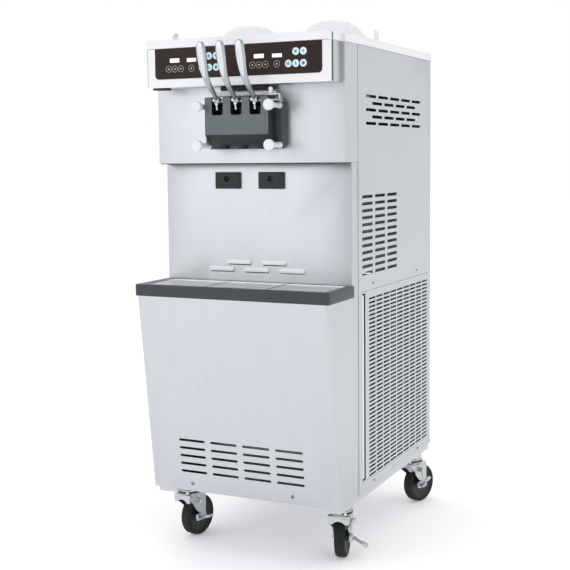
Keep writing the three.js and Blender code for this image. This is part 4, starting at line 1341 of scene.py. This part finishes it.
    def lever(self, place: str) -> None:
        """Makes one cast draw lever: curved grip, foot, eye, finger and adjusting screws.

        Args:
            place: left, middle or right.
        """
        joint = next(joint for joint in JOINTS if joint["name"] == f"lever_{place}_pull")
        x, y, z = (value / MM for value in joint["pos_m"])
        clear_selection()
        bpy.ops.mesh.primitive_circle_add(vertices=self.sides, radius=1, fill_type="NGON")
        grip = Workpiece(f"draw_lever_{place}_grip")
        for vertex, corner in zip(grip.body.data.vertices, self.ring(0, x)):
            vertex.co = corner
        grip.edit()
        bpy.ops.mesh.select_all(action="SELECT")
        for index in range(1, len(self.path)):
            old, new = self.ring(index - 1, x), self.ring(index, x)
            bpy.ops.mesh.extrude_region_move()
            mesh = bmesh.from_edit_mesh(grip.body.data)
            for vertex in (vertex for vertex in mesh.verts if vertex.select):
                nearest = min(range(self.sides), key=lambda side: (vertex.co - old[side]).length)
                vertex.co = new[nearest]
            bmesh.update_edit_mesh(grip.body.data)
        grip.face_outwards()
        grip.softened(1)
        inlay = self.inlay(x)
        foot = Workpiece.prism("foot", [(y - 17, z + 8), (y - 11, z - 5), (y + 2, z - 8), (y + 8, z + 1), (y + 3, z + 8),
                                        (y - 8, z + 14)], Axis.X, (x - 7.5, x + 7.5)).rounded(2.0, 3)
        eye = Workpiece.rod("eye", Axis.X, (x - 8, x + 8), (y, z), 8, 28).rounded(0.8)
        finger = Workpiece.block("finger", Box(x - 4, x + 4, y, y + 27, z - 3, z + 3)).rounded(1.2)
        finger.swung(Axis.X, -18, (x, y, z))
        tip_y, tip_z = y + 28 * math.cos(math.radians(18)), z - 28 * math.sin(math.radians(18))
        ball = Workpiece.rod("ball", Axis.X, (x - 4, x + 4), (tip_y, tip_z), 4, 20).rounded(0.8)
        screw = self.adjuster(x, y, z)
        grip.gather(foot, eye, finger, ball)
        grip.finish(SHADED_CHROME, f"lever_{place}", [f"draw_lever_{place}"], smooth=50)
        screw.finish(BRIGHT_STEEL, f"lever_{place}")
        # The grip's darker chrome paints the shade at its edges, and the pale strip paints the highlight on its front.
        inlay.body.name = f"draw_lever_{place}_face"
        inlay.finish(LEVER_HIGHLIGHT_CHROME, f"lever_{place}", smooth=60)

    def inlay(self, x: float) -> Workpiece:
        """Makes the painted highlight on the front of a grip: a flat strip of paler chrome.

        Args:
            x: Middle of the lever.

        Returns:
            The painted highlight, a thin strip that follows the grip.
        """
        strip = None
        for index in range(3, len(self.path) - 2):
            (y0, z0), (y1, z1) = self.path[index], self.path[index + 1]
            way = Vector((y1 - y0, z1 - z0)).normalized()
            ends = []
            for (y, z), at in (((y0, z0), index), ((y1, z1), index + 1)):
                out = self.thicks[at] / 2
                ends.append((x, y - way.y * out, z + way.x * out, self.widths[at] * (0.31 if at > 3 else 0.14)))
            low, high = ends
            piece = Workpiece.flat("face", [(low[0] - low[3], low[2]), (low[0] + low[3], low[2]),
                                            (high[0] + high[3], high[2]), (high[0] - high[3], high[2])], Axis.Y, 0.0)
            for vertex in piece.body.data.vertices:
                near = low if abs(vertex.co.z / MM - low[2]) < abs(vertex.co.z / MM - high[2]) else high
                vertex.co.y = near[1] * MM
            strip = strip.gather(piece) if strip else piece
        strip.edit()
        bpy.ops.mesh.select_all(action="SELECT")
        bpy.ops.mesh.remove_doubles(threshold=0.0012)
        strip.pick(Part.VERT, lambda place, _: place.z > self.path[-3][1] - 1 or place.z < self.path[3][1] + 1)
        strip.bevel(2.5, 4, corners=True)
        strip.face_outwards()
        strip.walled(1.0, 0.0)
        return strip.rounded(0.3)

    def adjuster(self, x: float, y: float, z: float) -> Workpiece:
        """Makes the bright adjusting screw that leans down the notch, and the lock nut beside the foot."""
        thread = [(0, z - 24), (3.4, z - 24)]
        for step in range(8):
            base = z - 22.5 + step * 2.2
            thread += [(3.9, base), (3.2, base + 1.1)]
        thread += [(3.9, z - 4), (0, z - 4)]
        work = Workpiece.turned("adjusting_screw", thread, Axis.Z, (x - 1.5, y - 11), 20)
        collar = Workpiece.rod("collar", Axis.Z, (z - 9, z - 4.5), (x - 1.5, y - 11), 6.0, 6)
        work.gather(collar.rounded(0.5)).swung(Axis.X, 14, (x, y - 11, z - 4))
        side_nut = Workpiece.rod("side_nut", Axis.X, (x - 16.5, x - 9), (y - 4, z + 4), 5.4, 6).rounded(0.6)
        work.gather(side_nut)
        return work

    def valve(self, place: str) -> None:
        """Makes one draw valve: a stem with two seal grooves and its slot for the lever."""
        room = Box.of_node(f"draw_valve_{place}")
        x, y = (room.x0 + room.x1) / 2, (room.y0 + room.y1) / 2
        radius = (room.x1 - room.x0) / 2
        profile = [(0, room.z0), (radius - 1, room.z0), (radius, room.z0 + 1)]
        for low in (room.z0 + 14, room.z0 + 60):
            profile += [(radius, low), (radius - 1.6, low + 0.4), (radius - 1.6, low + 3), (radius, low + 3.4)]
        profile += [(radius, room.z1 - 1.5), (radius - 1.5, room.z1), (0, room.z1)]
        stem = Workpiece.turned(f"draw_valve_{place}_stem", profile, Axis.Z, (x, y), 32)
        middle = 1330 - 28 * math.sin(math.radians(18))
        stem.cut(Workpiece.block("slot", Box(x - 5, x + 5, y - 15, y + 7, middle - 6.5, middle + 6.5)))
        stem.finish(SEAL_AND_SHADE_BLACK, f"valve_{place}", [f"draw_valve_{place}"])
        cap = Workpiece.turned(f"draw_valve_{place}_cap", [
            (0, room.z1 - 9), (radius + 0.2, room.z1 - 9), (radius + 0.2, room.z1 - 1.5), (radius - 1.4, room.z1 + 0.0),
            (0, room.z1)], Axis.Z, (x, y), 32)
        cap.cut(Workpiece.block("slot", Box(x - 5, x + 5, y - 15, y + 7, room.z1 - 20, room.z1 + 5)))
        cap.finish(LID_WHITE, f"valve_{place}")

    def build(self) -> None:
        """Makes the whole head."""
        self.door()
        self.nuts()
        self.pin()
        for place in ("left", "middle", "right"):
            self.lever(place)
            self.valve(place)


@dataclass
class DripStation:
    """The drip tray with its three perforated grates, and the two drip drawers."""

    rim_round: float = 5.0
    cell: float = 5.6
    web: float = 0.45
    border: float = 7.0
    grate_fold: float = 1.2
    grate_holes: tuple[int, int] = (16, 13)
    liner: float = 2.0

    def tray(self) -> None:
        """Makes the thick moulded rim, its pan and the bright liner round the grates."""
        room = Box.of_node("drip_tray")
        low = 775.0
        rim = Workpiece.block("drip_tray_rim", Box(room.x0, room.x1, room.y0, room.y1, low, room.z1))
        rim.along(Axis.Z, lambda place, _: place.y < room.y0 + 1).bevel(7, 5)
        rim.pick(Part.EDGE, lambda place, way: place.z > room.z1 - 1 and place.y < room.y1 - 1).bevel(4, 4)
        rim.pick(Part.EDGE, lambda place, way: place.z < low + 0.5 and place.y < room.y1 - 1).bevel(1.5, 2)
        opening = Workpiece.prism("opening", rounded_outline(-288.5, 288.5, -413.5, -258.5, 5, 4), Axis.Z, (801, 830))
        well = Workpiece.prism("well", rounded_outline(-284, 284, -409, -263, 12, 5), Axis.Z, (739, 830))
        pan = Workpiece.prism("pan", rounded_outline(-291, 291, -414, -254.5, 14, 5), Axis.Z, (736, 777)).rounded(3, 3)
        rim.weld(pan).cut(well, opening)
        rim.finish(RIM_AND_SHADE_GREY, "drip_tray", ["drip_tray"])
        ledge = rounded_outline(-288.3, 288.3, -413.3, -258.7, 5, 4)
        frame = Workpiece.prism("drip_tray_liner", ledge, Axis.Z, (801.2, 808.4))
        frame.cut(Workpiece.prism("inside", rounded_outline(-287, 287, -412, -260, 4.5, 4), Axis.Z, (790, 830)))
        frame.finish(BRIGHT_STEEL, "drip_tray")

    def grate(self, index: int) -> None:
        """Makes one perforated grate with staggered holes and a folded edge.

        Args:
            index: Place from the left, from 1.
        """
        node = f"tray_grate_{index}"
        frame_room = Box.of_node(node)
        room = Box(frame_room.x0 + 3.0, frame_room.x1 - (9.0 if index == 3 else 3.0), frame_room.y0, frame_room.y1,
                   frame_room.z0, frame_room.z1)
        top, cell = room.z1, self.cell
        across, deep = self.grate_holes
        x0 = (room.x0 + room.x1) / 2 - across * cell
        y0 = (room.y0 + room.y1) / 2 - deep * cell
        plate = None
        for dx, dy in ((0, 0), (1, 1)):
            corners = [(x0 + dx * cell, y0 + dy * cell), (x0 + (dx + 1) * cell, y0 + dy * cell),
                       (x0 + (dx + 1) * cell, y0 + (dy + 1) * cell), (x0 + dx * cell, y0 + (dy + 1) * cell)]
            tile = Workpiece.flat(f"drip_grate_{index}", corners, Axis.Z, top)
            tile.pick(Part.FACE, lambda place, _: True).inset(self.web).remove()
            near = self.web * 0.5
            tile.pick(Part.VERT, lambda place, _: corners[0][0] + near < place.x < corners[1][0] - near
                      and corners[0][1] + near < place.y < corners[2][1] - near)
            tile.bevel((cell - 2 * self.web) * 0.2, 1, corners=True)
            plate = plate.gather(tile) if plate else tile
        for dx, dy in ((1, 0), (0, 1)):
            corners = [(x0 + dx * cell, y0 + dy * cell), (x0 + (dx + 1) * cell, y0 + dy * cell),
                       (x0 + (dx + 1) * cell, y0 + (dy + 1) * cell), (x0 + dx * cell, y0 + (dy + 1) * cell)]
            plate.gather(Workpiece.flat("tile", corners, Axis.Z, top))
        plate.face_outwards()
        plate.arrayed(across, (2 * cell, 0, 0), merge=True).arrayed(deep, (0, 2 * cell, 0), merge=True)
        x1, y1 = x0 + 2 * across * cell, y0 + 2 * deep * cell
        for at, to in ((x0, room.x0), (x1, room.x1)):
            plate.along(Axis.Y, lambda place, _: abs(place.x - at) < 0.1).push(x=to - at, extrude=True)
        for at, to in ((y0, room.y0), (y1, room.y1)):
            plate.along(Axis.X, lambda place, _: abs(place.y - at) < 0.1).push(y=to - at, extrude=True)
        plate.face_outwards()
        plate.walled(0.25, -1.0)
        highest = max(vertex.co.z for vertex in plate.body.data.vertices) / MM
        plate.moved(z=top - highest)
        skirt = Workpiece.block("skirt", Box(room.x0, room.x1, room.y0, room.y1, room.z0, top - 0.6))
        skirt.pick(Part.FACE, lambda place, normal: abs(normal.z) > 0.9).remove()
        skirt.walled(1.0)
        skirt.body.name = f"drip_grate_{index}_skirt"
        skirt.finish(SHADOW_STEEL, f"grate_{index}")
        plate.body.name = f"drip_grate_{index}"
        plate.finish(GRATE_STEEL, f"grate_{index}", [node])

    def drawer(self, side: Side) -> None:
        """Makes one drip drawer: moulded front with a finger hole, and its open trough.

        Args:
            side: Which drawer.
        """
        node = f"drip_drawer_{side.label}"
        room = Box.of_node(node)
        x = (room.x0 + room.x1) / 2
        front = Workpiece.block(f"drip_drawer_{side.label}_front", Box(room.x0, room.x1, room.y0, room.y0 + 7.7,
                                                                       room.z0, room.z1))
        front.along(Axis.Y).bevel(2.2, 3)
        front.pick(Part.EDGE, lambda place, way: place.y < room.y0 + 0.5).bevel(1.4, 3)
        trough = Workpiece.block("trough", Box(x - 33.5, x + 33.5, room.y0 + 7, 90, 1088, 1123))
        trough.cut(Workpiece.block("hollow", Box(x - 31.5, x + 31.5, room.y0 + 7.5, 88, 1090, 1140)))
        front.gather(trough)
        front.cut(Workpiece.rod("finger_hole", Axis.Y, (room.y0 - 5, room.y0 + 12), (x - 2, 1110), 8.5, 32))
        front.finish(DRAWER_GREY, f"drawer_{side.label}", [node])

    def build(self) -> None:
        """Makes the tray, grates and drawers."""
        self.tray()
        for index in (1, 2, 3):
            self.grate(index)
        for side in Side:
            self.drawer(side)


@dataclass
class Hoppers:
    """The two mix hoppers under their domed lids."""

    steps: int = 72

    def hopper(self, side: Side) -> None:
        """Makes one drawn steel hopper with a rolled flange."""
        node = f"hopper_{side.label}"
        room = Box.of_node(node)
        middle = ((room.x0 + room.x1) / 2, (room.y0 + room.y1) / 2)
        outer, top, low = 122.0, room.z1, room.z0
        wall = 112.0
        profile = [(0, low), (wall - 14, low), *arc((wall - 14, low + 14), 14, -90, 0, 5), (wall, top - 2),
                   (outer, top - 2), (outer + 0.0, top - 0.4), (outer - 0.6, top), (wall - 1.2, top), (wall - 2, top - 1),
                   (wall - 2, low + 14), *arc((wall - 14, low + 14), 12, 0, -90, 5)[1:], (0, low + 2)]
        Workpiece.turned(f"hopper_{side.label}_tub", profile, Axis.Z, middle, self.steps).finish(
            PANEL_STEEL, "cabinet", [node])

    def lid(self, side: Side) -> None:
        """Makes one domed lid with a double edge."""
        node = f"hopper_lid_{side.label}"
        room = Box.of_node(node)
        middle = ((room.x0 + room.x1) / 2, (room.y0 + room.y1) / 2)
        top, base = room.z1, room.z0
        dome = [(0, top), (20, top - 0.5), (42, top - 3.5), (56, top - 8), (66, top - 13.5), (74, top - 20),
                (82, top - 28.5), (91, top - 39), (100, top - 49), (107, top - 55), (113, base + 5.5)]
        edge = [(114, base + 4), (117, base + 3.4), (119, base + 2.8), (120, base + 1.6), (119.4, base), (109, base)]
        inside = [(max(r - 2.4, 0), z - 3) for r, z in dome[:9]][::-1]
        lid = Workpiece.turned(f"hopper_lid_{side.label}_dome", [*dome, *edge, *inside], Axis.Z, middle, self.steps)
        lid.finish(LID_WHITE, f"lid_{side.label}", [node], smooth=40)

    def build(self) -> None:
        """Makes both hoppers and both lids."""
        for side in Side:
            self.hopper(side)
            self.lid(side)


# -------------------------------------------------------------------- casters
@dataclass
class Caster:
    """One swivel caster: raceway, pressed fork, tyred wheel and brake pedal.

    Its own frame has the stem at the origin, X along the axle to the brake side and Y towards the wheel.
    """

    corner: str
    axle_y: float = 38.0
    axle_z: float = 62.7
    fork_half: float = 24.0
    shoulder: float = 31.0
    cheek: float = 3.0
    pedal_pivot: tuple[float, float, float] = (41.0, 8.0, 66.0)
    tyre_half: float = 16.0
    nut_turn: float = 32.0

    def seat(self) -> Matrix:
        """Returns the matrix that puts this caster's own frame on the machine."""
        swivel = next(joint for joint in JOINTS if joint["name"] == f"swivel_{self.corner}")
        roll = next(joint for joint in JOINTS if joint["name"] == f"roll_{self.corner}")
        heading = math.atan2(roll["axis"][1], roll["axis"][0])
        x, y, _ = swivel["pos_m"]
        return Matrix.Translation((x, y, 0)) @ Matrix.Rotation(heading, 4, "Z")

    def pedal_rest(self) -> float:
        """Returns the angle of the pedal at rest, in degrees."""
        joint = next(joint for joint in JOINTS if joint["name"] == f"brake_{self.corner}")
        return -30.0 - joint["range_deg"][0]

    def fork(self) -> list[Workpiece]:
        """Makes the raceway, dust ring, pressed fork and axle."""
        race = Workpiece.turned(f"caster_raceway_{self.corner}", [
            (0, 141), (27, 141), (34.5, 142.5), (37, 144.5), (37, 146), (33.5, 146.4), (33.5, 151.4), (36, 152), (36, 155.4),
            (34, 156.7), (0, 156.7)], Axis.Z, steps=40)
        dust = Workpiece.turned(f"caster_dust_ring_{self.corner}", [
            (33, 146.6), (36.8, 146.4), (37.4, 148), (36.8, 151), (33, 151.2)], Axis.Z, steps=40)
        wide, half = self.fork_half, self.cheek
        outline = [(-35, 143), (-35, 131), (-30, 123), (-18, 113), (-4, 99), (8, 84), (20, 73), (27, 66),
                   *arc((self.axle_y, self.axle_z), 12.5, 175, 375, 8), (49, 84), (45, 108), (41, 128), (39, 143)]
        right = Workpiece.prism(f"caster_fork_{self.corner}_yoke", outline, Axis.X, (wide - half, wide))
        right.pick(Part.VERT, lambda place, _: place.z > 112).push(x=self.shoulder - wide)
        right.rounded(0.9, 2)
        rib = Workpiece.prism("rib", [(12, 140), (20, 140), (36, 78), (31, 76)], Axis.X, (wide - 0.5, wide + 1.6))
        rib.pick(Part.VERT, lambda place, _: place.z > 112).push(x=self.shoulder - wide)
        rib.rounded(0.7)
        left = right.copy("cheek").mirrored()
        top = self.shoulder
        crown = Workpiece.block("crown", Box(-top, top, -35, 39, 133, 143)).rounded(3.2, 3)
        apron = Workpiece.block("apron", Box(-top + 1, top - 1, -35, -32, 117, 136))
        apron.cut(Workpiece.rod("arch", Axis.Y, (-40, -20), (0, 103), 23.5, 32)).rounded(0.6)
        axle = Workpiece.rod("axle", Axis.X, (-25, 27), (self.axle_y, self.axle_z), 6, 24)
        right.gather(left, crown, rib, apron, axle)
        bolt = Workpiece.rod(f"caster_axle_bolt_{self.corner}", Axis.X, (wide, wide + 6), (self.axle_y, self.axle_z), 9, 6)
        bolt.rounded(0.9)
        head = Workpiece.rod("head", Axis.X, (-wide - 5.5, -wide), (self.axle_y, self.axle_z), 9, 6).rounded(0.9)
        stud = Workpiece.rod("stud", Axis.X, (wide + 5, wide + 9.5), (self.axle_y, self.axle_z), 4.5, 16).rounded(0.7)
        bolt.gather(head, stud)
        king = Workpiece.rod(f"caster_king_nut_{self.corner}", Axis.Y, (-38.5, -33), (0, 148.6), 5.4, 6).rounded(0.8)
        king.swung(Axis.Z, self.nut_turn, (0, 0, 0))
        boss = Workpiece.block(f"caster_brake_boss_{self.corner}", Box(wide, 36, -3, 22, 56, 76)).rounded(2.4, 3)
        cam = Workpiece.prism("cam", [(22, 78), (44, 70), (50, 58), (40, 50), (24, 52)], Axis.X, (wide - 0.2, wide + 3))
        tab = Workpiece.block("tab", Box(wide + 2, 46, 2, 8, 112, 127)).rounded(1.2, 2)
        boss.gather(cam.rounded(0.9), tab)
        dressed = [(race, ZINC), (dust, SEAL_AND_SHADE_BLACK), (right, ZINC), (bolt, ZINC), (king, YELLOW_ZINC), (boss, ZINC)]
        for work, look in dressed:
            work.placed(self.seat())
            work.finish(look, f"fork_{self.corner}", [f"caster_fork_{self.corner}"] if work is right else [])
        return [work for work, _ in dressed]

    def wheel(self) -> None:
        """Makes the rubber tyre with its shoulders and the pressed hub."""
        radius, half = self.axle_z, self.tyre_half
        tyre = [(49, -half + 2.5), (53, -half + 0.8), (57.5, -half), (60.2, -half + 1.2), (61.9, -half + 3.6),
                (radius - 0.3, -half + 6.5), (radius, -5), (radius, -2.0), (radius - 0.5, -1.6), (radius - 0.5, 1.6),
                (radius, 2.0), (radius, 5), (radius - 0.3, half - 6.5), (61.9, half - 3.6), (60.2, half - 1.2),
                (57.5, half), (53, half - 0.8), (49, half - 2.5)]
        rubber = Workpiece.turned(f"caster_tyre_{self.corner}", tyre, Axis.X, (self.axle_y, self.axle_z), 64)
        core = [(6.8, -19), (13, -19), (15.5, -17.5), (17.5, -11), (24, -8.5), (40, -8.5), (45.5, -11), (49.3, -14.5),
                (50.5, -13), (50.5, 13), (49.3, 14.5), (45.5, 11), (40, 8.5), (24, 8.5), (17.5, 11), (15.5, 17.5),
                (13, 19), (6.8, 19)]
        hub = Workpiece.turned(f"caster_hub_{self.corner}", core, Axis.X, (self.axle_y, self.axle_z), 48)
        cap = Workpiece.turned(f"caster_bearing_{self.corner}", [
            (7, 18.4), (13.5, 18.4), (13.8, 19.6), (11, 20.4), (7, 20.4)], Axis.X, (self.axle_y, self.axle_z), 32)
        for work, look in ((rubber, TYRE_BLACK), (hub, HUB_GREY), (cap, ZINC)):
            work.placed(self.seat())
            work.finish(look, f"wheel_{self.corner}", [f"caster_wheel_{self.corner}"] if work is rubber else [], smooth=32)

    def pedal(self) -> None:
        """Makes the brake pedal: pivot barrel, bent arm and ribbed foot pad."""
        barrel = Workpiece.rod(f"brake_pedal_{self.corner}_arm", Axis.Y, (-8, 8), (0, 0), 4, 20).rounded(0.6)
        arm = Workpiece.block("arm", Box(0, 27, -5.5, 5.5, -3.2, 3.2))
        arm.pick(Part.FACE, lambda place, normal: normal.x > 0.9).resize(y=0.8)
        pad = Workpiece.block(f"brake_pedal_{self.corner}_pad", Box(24, 44, -11, 11, -3.4, 3.4))
        pad.along(Axis.Z, lambda place, _: place.x > 40).bevel(4, 4)
        pad.rounded(1.2, 2)
        ribs = Workpiece.block("ribs", Box(28, 29.6, -8, 8, 2.6, 3.0)).rounded(0.15).arrayed(4, (3.6, 0, 0))
        barrel.gather(arm.rounded(1.2))
        pad.gather(ribs)
        turn = Matrix.Rotation(-math.radians(self.pedal_rest()), 4, "Y")
        place = self.seat() @ Matrix.Translation(Vector(self.pedal_pivot) * MM) @ turn
        for work, look in ((barrel, SCREW_STEEL), (pad, ZINC)):
            work.placed(place)
            work.finish(look, f"pedal_{self.corner}", [f"brake_pedal_{self.corner}"] if work is barrel else [])

    def build(self) -> None:
        """Makes the whole caster."""
        self.fork()
        self.wheel()
        self.pedal()


# -------------------------------------------------------------------- inside
@dataclass
class Inside:
    """Frame nodes whose own shape is right: they only get their finishes."""

    looks: dict[str, Finish] = field(default_factory=lambda: {
        "base_frame": PANEL_STEEL, "equipment_shelf": PANEL_STEEL, "control_board": BOARD_GREEN,
        "freezing_cylinder_left": TRIM_STEEL, "freezing_cylinder_right": TRIM_STEEL,
        "beater_left": SHADED_CHROME, "beater_right": SHADED_CHROME, "gear_motor_left": CASTING_BLACK,
        "gear_motor_right": CASTING_BLACK, "compressor": CASTING_BLACK, "condenser": FIN_BLACK,
        "fan": SEAL_AND_SHADE_BLACK, "cable_gland": SEAL_AND_SHADE_BLACK})

    def build(self) -> None:
        """Gives every kept node its finish."""
        for node, look in self.looks.items():
            body = FRAME["nodes"][node]
            body.data.materials.clear()
            body.data.materials.append(look.material())
            LOG.info("%s: kept from the frame", node)


# -------------------------------------------------------------------- studio
@dataclass
class Studio:
    """Pale floor, soft light and the camera."""

    eye_m: tuple[float, float, float] = (1.4661, -3.1314, 1.1692)
    turn: float = 25.5015
    dip: float = 5.0
    roll: float = -0.5376
    lens: float = 70.0
    shift_y: float = -0.0526
    floor_m: float = 60.0

    def floor(self) -> None:
        """Lays a wide pale floor with a soft grain."""
        clear_selection()
        bpy.ops.mesh.primitive_plane_add(size=self.floor_m, location=(0, 0, -0.0005))
        ground = Workpiece("studio_floor")
        look = Finish("floor_white", "stainless", (0.93, 0.93, 0.94), (0.95, 0.95, 0.95), 0.9, swing=0.02, bump=0.0, glow=0.24)
        ground.body.data.materials.append(look.material())

    def lights(self) -> None:
        """Hangs large soft lamps and fills the room with pale light."""
        lamps = (("key", (-2.3, -4.6, 2.7), 4.0, 62.0), ("fill", (4.2, -2.6, 2.2), 3.0, 16.0),
                 ("top", (0.2, -0.4, 4.6), 3.0, 16.0))
        for name, place, size, power in lamps:
            bpy.ops.object.light_add(type="AREA", location=place)
            lamp = bpy.context.object
            lamp.name = f"studio_{name}"
            lamp.data.energy = power
            lamp.data.size = size
            lamp.rotation_euler = (Vector((0, 0, 0.8)) - Vector(place)).to_track_quat("-Z", "Y").to_euler()
        world = bpy.data.worlds.new("studio_air")
        bpy.context.scene.world = world
        world.use_nodes = True
        tree = world.node_tree
        sky = next(node for node in tree.nodes if node.type == "BACKGROUND")
        where = tree.nodes.new("ShaderNodeTexCoord")
        parts = tree.nodes.new("ShaderNodeSeparateXYZ")
        tree.links.new(where.outputs["Generated"], parts.inputs["Vector"])
        fade = tree.nodes.new("ShaderNodeValToRGB")
        fade.color_ramp.elements[0].position = 0.0
        fade.color_ramp.elements[0].color = (0.46, 0.47, 0.49, 1.0)
        fade.color_ramp.elements[1].position = 0.55
        fade.color_ramp.elements[1].color = (1.0, 1.0, 1.0, 1.0)
        turn = tree.nodes.new("ShaderNodeMapRange")
        turn.inputs["From Min"].default_value = -1.0
        turn.inputs["From Max"].default_value = 1.0
        tree.links.new(parts.outputs["Y"], turn.inputs["Value"])
        tree.links.new(turn.outputs["Result"], fade.inputs["Fac"])
        tree.links.new(fade.outputs["Color"], sky.inputs["Color"])
        sky.inputs["Strength"].default_value = 1.0

    def camera(self) -> None:
        """Sets the camera."""
        bpy.ops.object.camera_add()
        camera = bpy.context.object
        turn = (Matrix.Rotation(math.radians(self.turn), 4, "Z") @ Matrix.Rotation(math.radians(90 - self.dip), 4, "X")
                @ Matrix.Rotation(math.radians(self.roll), 4, "Z"))
        camera.matrix_world = Matrix.Translation(self.eye_m) @ turn
        camera.data.lens = self.lens
        camera.data.shift_y = self.shift_y
        bpy.context.scene.camera = camera
        bpy.context.scene.view_settings.view_transform = "Standard"

    def build(self) -> None:
        """Sets up floor, lights and camera."""
        self.floor()
        self.lights()
        self.camera()


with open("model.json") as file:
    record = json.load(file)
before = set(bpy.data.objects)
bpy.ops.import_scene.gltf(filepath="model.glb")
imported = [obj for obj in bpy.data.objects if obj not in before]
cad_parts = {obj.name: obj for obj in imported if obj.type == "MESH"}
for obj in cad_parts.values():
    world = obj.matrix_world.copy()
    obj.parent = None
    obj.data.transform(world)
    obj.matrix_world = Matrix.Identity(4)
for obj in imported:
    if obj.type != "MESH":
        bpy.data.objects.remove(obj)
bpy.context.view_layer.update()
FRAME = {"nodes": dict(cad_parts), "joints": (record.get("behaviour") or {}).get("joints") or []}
JOINTS = FRAME["joints"]


def main() -> None:
    """Builds every sub-assembly in order."""
    logging.basicConfig(level=logging.INFO, format="%(message)s")
    assemblies = [SidePanels(), GrilleDoors(), FrontSkins(), TopAndRear(), Console(), DispensingHead(), DripStation(),
                  Hoppers(), *(Caster(corner) for corner in ("front_left", "front_right", "rear_right", "rear_left")),
                  Inside(), Studio()]
    for assembly in assemblies:
        LOG.info("building %s", type(assembly).__name__)
        assembly.build()
    clear_selection()


if __name__ == "__main__":
    main()
